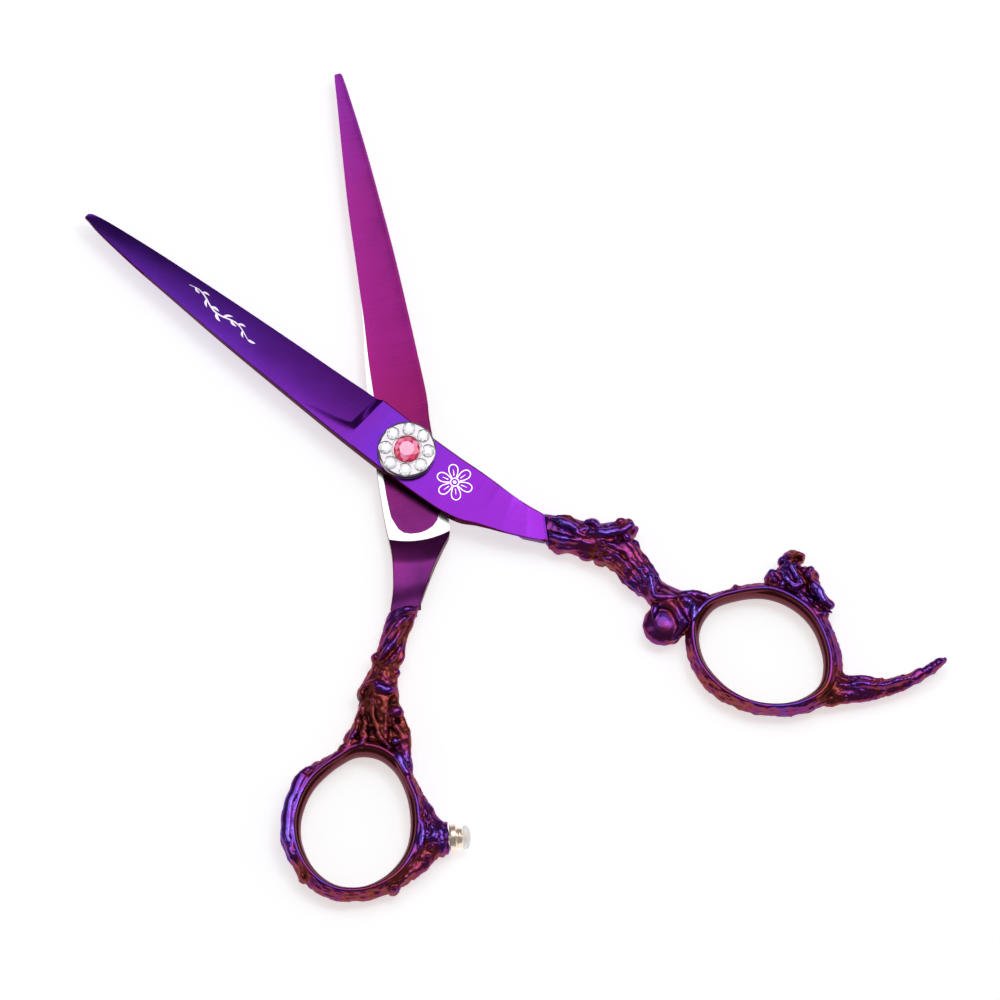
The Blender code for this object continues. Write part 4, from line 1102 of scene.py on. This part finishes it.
def make_rosette(material):
    """A plain six-petalled flower in outline, etched between the pivot and the handle."""
    bm = bmesh.new()
    cx, cy = 9.9, 0.1

    def polar(points):
        return [(cx + r * math.cos(a), cy + r * math.sin(a)) for r, a in points]

    for k in range(6):
        turn = math.radians(60 * k + 10)
        outline = []
        for i in range(25):
            t = i / 24
            outline.append((0.9 + 2.3 * math.sin(math.pi * t) ** 0.85, turn + 0.42 * math.cos(math.pi * t)))
        ribbon(bm, polar(outline), [0.075] * 25)
        ribbon(bm, polar((r, turn) for r in np.linspace(1.2, 2.3, 8)), np.linspace(0.08, 0.03, 8))
    ribbon(bm, polar((0.72, a) for a in np.linspace(0, 2 * math.pi, 33)), [0.09] * 33)
    ribbon(bm, [(cx - 0.3, cy), (cx, cy), (cx + 0.3, cy)], [0.15, 0.3, 0.15])
    finish_piece("etched_rosette", mesh_of(bm), material, "finger_half")


# ---- floor, light and camera

CAMERA_TURN, CAMERA_RISE = 34.3, 73.0
CAMERA_FAR = 6.0
TARGET = Vector((0.0177, 0.0025, THUMB_INNER * MM))
FRAME_WIDTH = 0.172
FLOOR_COLOUR, FLOOR_GLOW = (0.76, 0.87, 0.93), (1, 0.935, 0.90)
WORLD_COLOUR = (0.13, 0.12, 0.13, 1)


def aim(obj, turn_deg, rise_deg, distance):
    """Places a camera or light round the object.  Turn 0 is on the -Y side."""
    turn, rise = math.radians(turn_deg), math.radians(rise_deg)
    way = Vector((math.sin(turn) * math.cos(rise), -math.cos(turn) * math.cos(rise), math.sin(rise)))
    obj.location = TARGET + way * distance
    obj.rotation_euler = (-way).to_track_quat("-Z", "Y").to_euler()


def add_camera():
    data = bpy.data.cameras.new("camera")
    data.sensor_width = 36.0
    data.lens = data.sensor_width * CAMERA_FAR / FRAME_WIDTH
    data.clip_end = 50.0
    camera = add_object("camera", data)
    aim(camera, CAMERA_TURN, CAMERA_RISE, CAMERA_FAR)
    bpy.context.scene.camera = camera


def add_softbox(name, turn_deg, rise_deg, distance, size, radiance):
    data = bpy.data.lights.new(name, "AREA")
    data.shape = "RECTANGLE"
    data.size, data.size_y = size
    data.energy = radiance * math.pi * size[0] * size[1]
    light = add_object(name, data)
    light.visible_camera = False
    aim(light, turn_deg, rise_deg, distance)


def add_floor():
    bm = bmesh.new()
    bmesh.ops.create_grid(bm, x_segments=8, y_segments=8, size=1.5)
    floor = add_object("floor", mesh_of(bm))
    finish = Finish("floor_white", Roughness=0.8, Specular_IOR_Level=0.0, Base_Color=FLOOR_COLOUR,
                    Emission_Color=FLOOR_GLOW, Emission_Strength=0.66)
    floor.data.materials.append(finish.material)


def add_world():
    world = bpy.data.worlds.new("studio")
    bpy.context.scene.world = world
    world.use_nodes = True
    tree = world.node_tree
    tree.nodes.clear()
    output, background, mix, path = [tree.nodes.new("ShaderNode" + kind) for kind in (
        "OutputWorld", "Background", "Mix", "LightPath")]
    mix.data_type = "RGBA"
    mix.inputs[6].default_value = WORLD_COLOUR
    mix.inputs[7].default_value = (1, 1, 1, 1)
    tree.links.new(path.outputs["Is Camera Ray"], mix.inputs[0])
    tree.links.new(mix.outputs[2], background.inputs["Color"])
    tree.links.new(background.outputs[0], output.inputs["Surface"])


def main():
    bpy.context.scene.view_settings.view_transform = "Standard"
    add_camera()
    add_world()
    add_floor()
    add_softbox("overhead_box", CAMERA_TURN + 180, CAMERA_RISE, 1.5, (0.9, 0.9), 1.7)
    add_softbox("bevel_box", 196, 50, 1.4, (0.7, 0.45), 0.42)
    add_softbox("key_box", 150, 68, 1.4, (0.42, 0.42), 4.2)
    add_softbox("left_strip", CAMERA_TURN - 80, 35, 1.4, (0.25, 0.9), 1.2)
    add_softbox("right_strip", CAMERA_TURN + 100, 40, 1.4, (0.25, 0.9), 1.5)

    make_finger_blade(blade_material("violet_oxide", VIOLET, 0.0))
    make_thumb_blade(blade_material("magenta_oxide", MAGENTA, REST_OPEN))
    cast = cast_material()
    make_handle("finger", 11, 27.0, cast, FINGER_STROKES, FINGER_LUMPS, FINGER_TINTS, FINGER_SCALES,
                FINGER_CALM)
    make_handle("thumb", 29, 26.3, cast, THUMB_STROKES, THUMB_LUMPS, THUMB_TINTS, THUMB_SCALES, THUMB_CALM)
    make_dial(plain_metal("dial_silver", (0.56, 0.52, 0.55), 0.14))
    pink = crystal_material("pink_glass", PINK_PAINTED_FACETS)
    clear = crystal_material("clear_glass", CLEAR_PAINTED_FACETS)
    make_stone("centre_brilliant", "centre_stone", (2.28, 0.42, 0.58), 1, 0.95, 0.0, pink)
    for i, node in enumerate(CLEAR_NODES):
        make_stone(f"clear_brilliant_{i + 1}", node, (1.06, 0.36, 0.54), i + 2, 0.8, 0.9 * i, clear)
    steel = plain_metal("bolt_steel", (0.62, 0.60, 0.63), 0.2)
    make_bolt(steel)
    # The bumper's metal and its cap glow with painted light
    champagne = plain_metal("bumper_metal", (0.93, 0.79, 0.66), 0.2, painted_glow=0.14)
    make_bumper(champagne, plastic_material("cap_silicone", (0.94, 0.93, 0.92), 0.1, 0.6, painted_glow=0.1))
    # The etched ornaments glow with painted light
    etched = plain_metal("etched_oxide", (0.97, 0.90, 1.0), 0.28, depth=0.01, painted_glow=0.4)
    make_sprig(etched)
    make_rosette(etched)
    nylon = plastic_material("bearing_nylon", (0.82, 0.82, 0.80), 0.4)
    for node, material in (("pivot_bush", nylon), ("slide_washer", nylon), ("spring_washer", steel)):
        frame["nodes"][node].data.materials[0] = material


main()

bpy.context.view_layer.update()
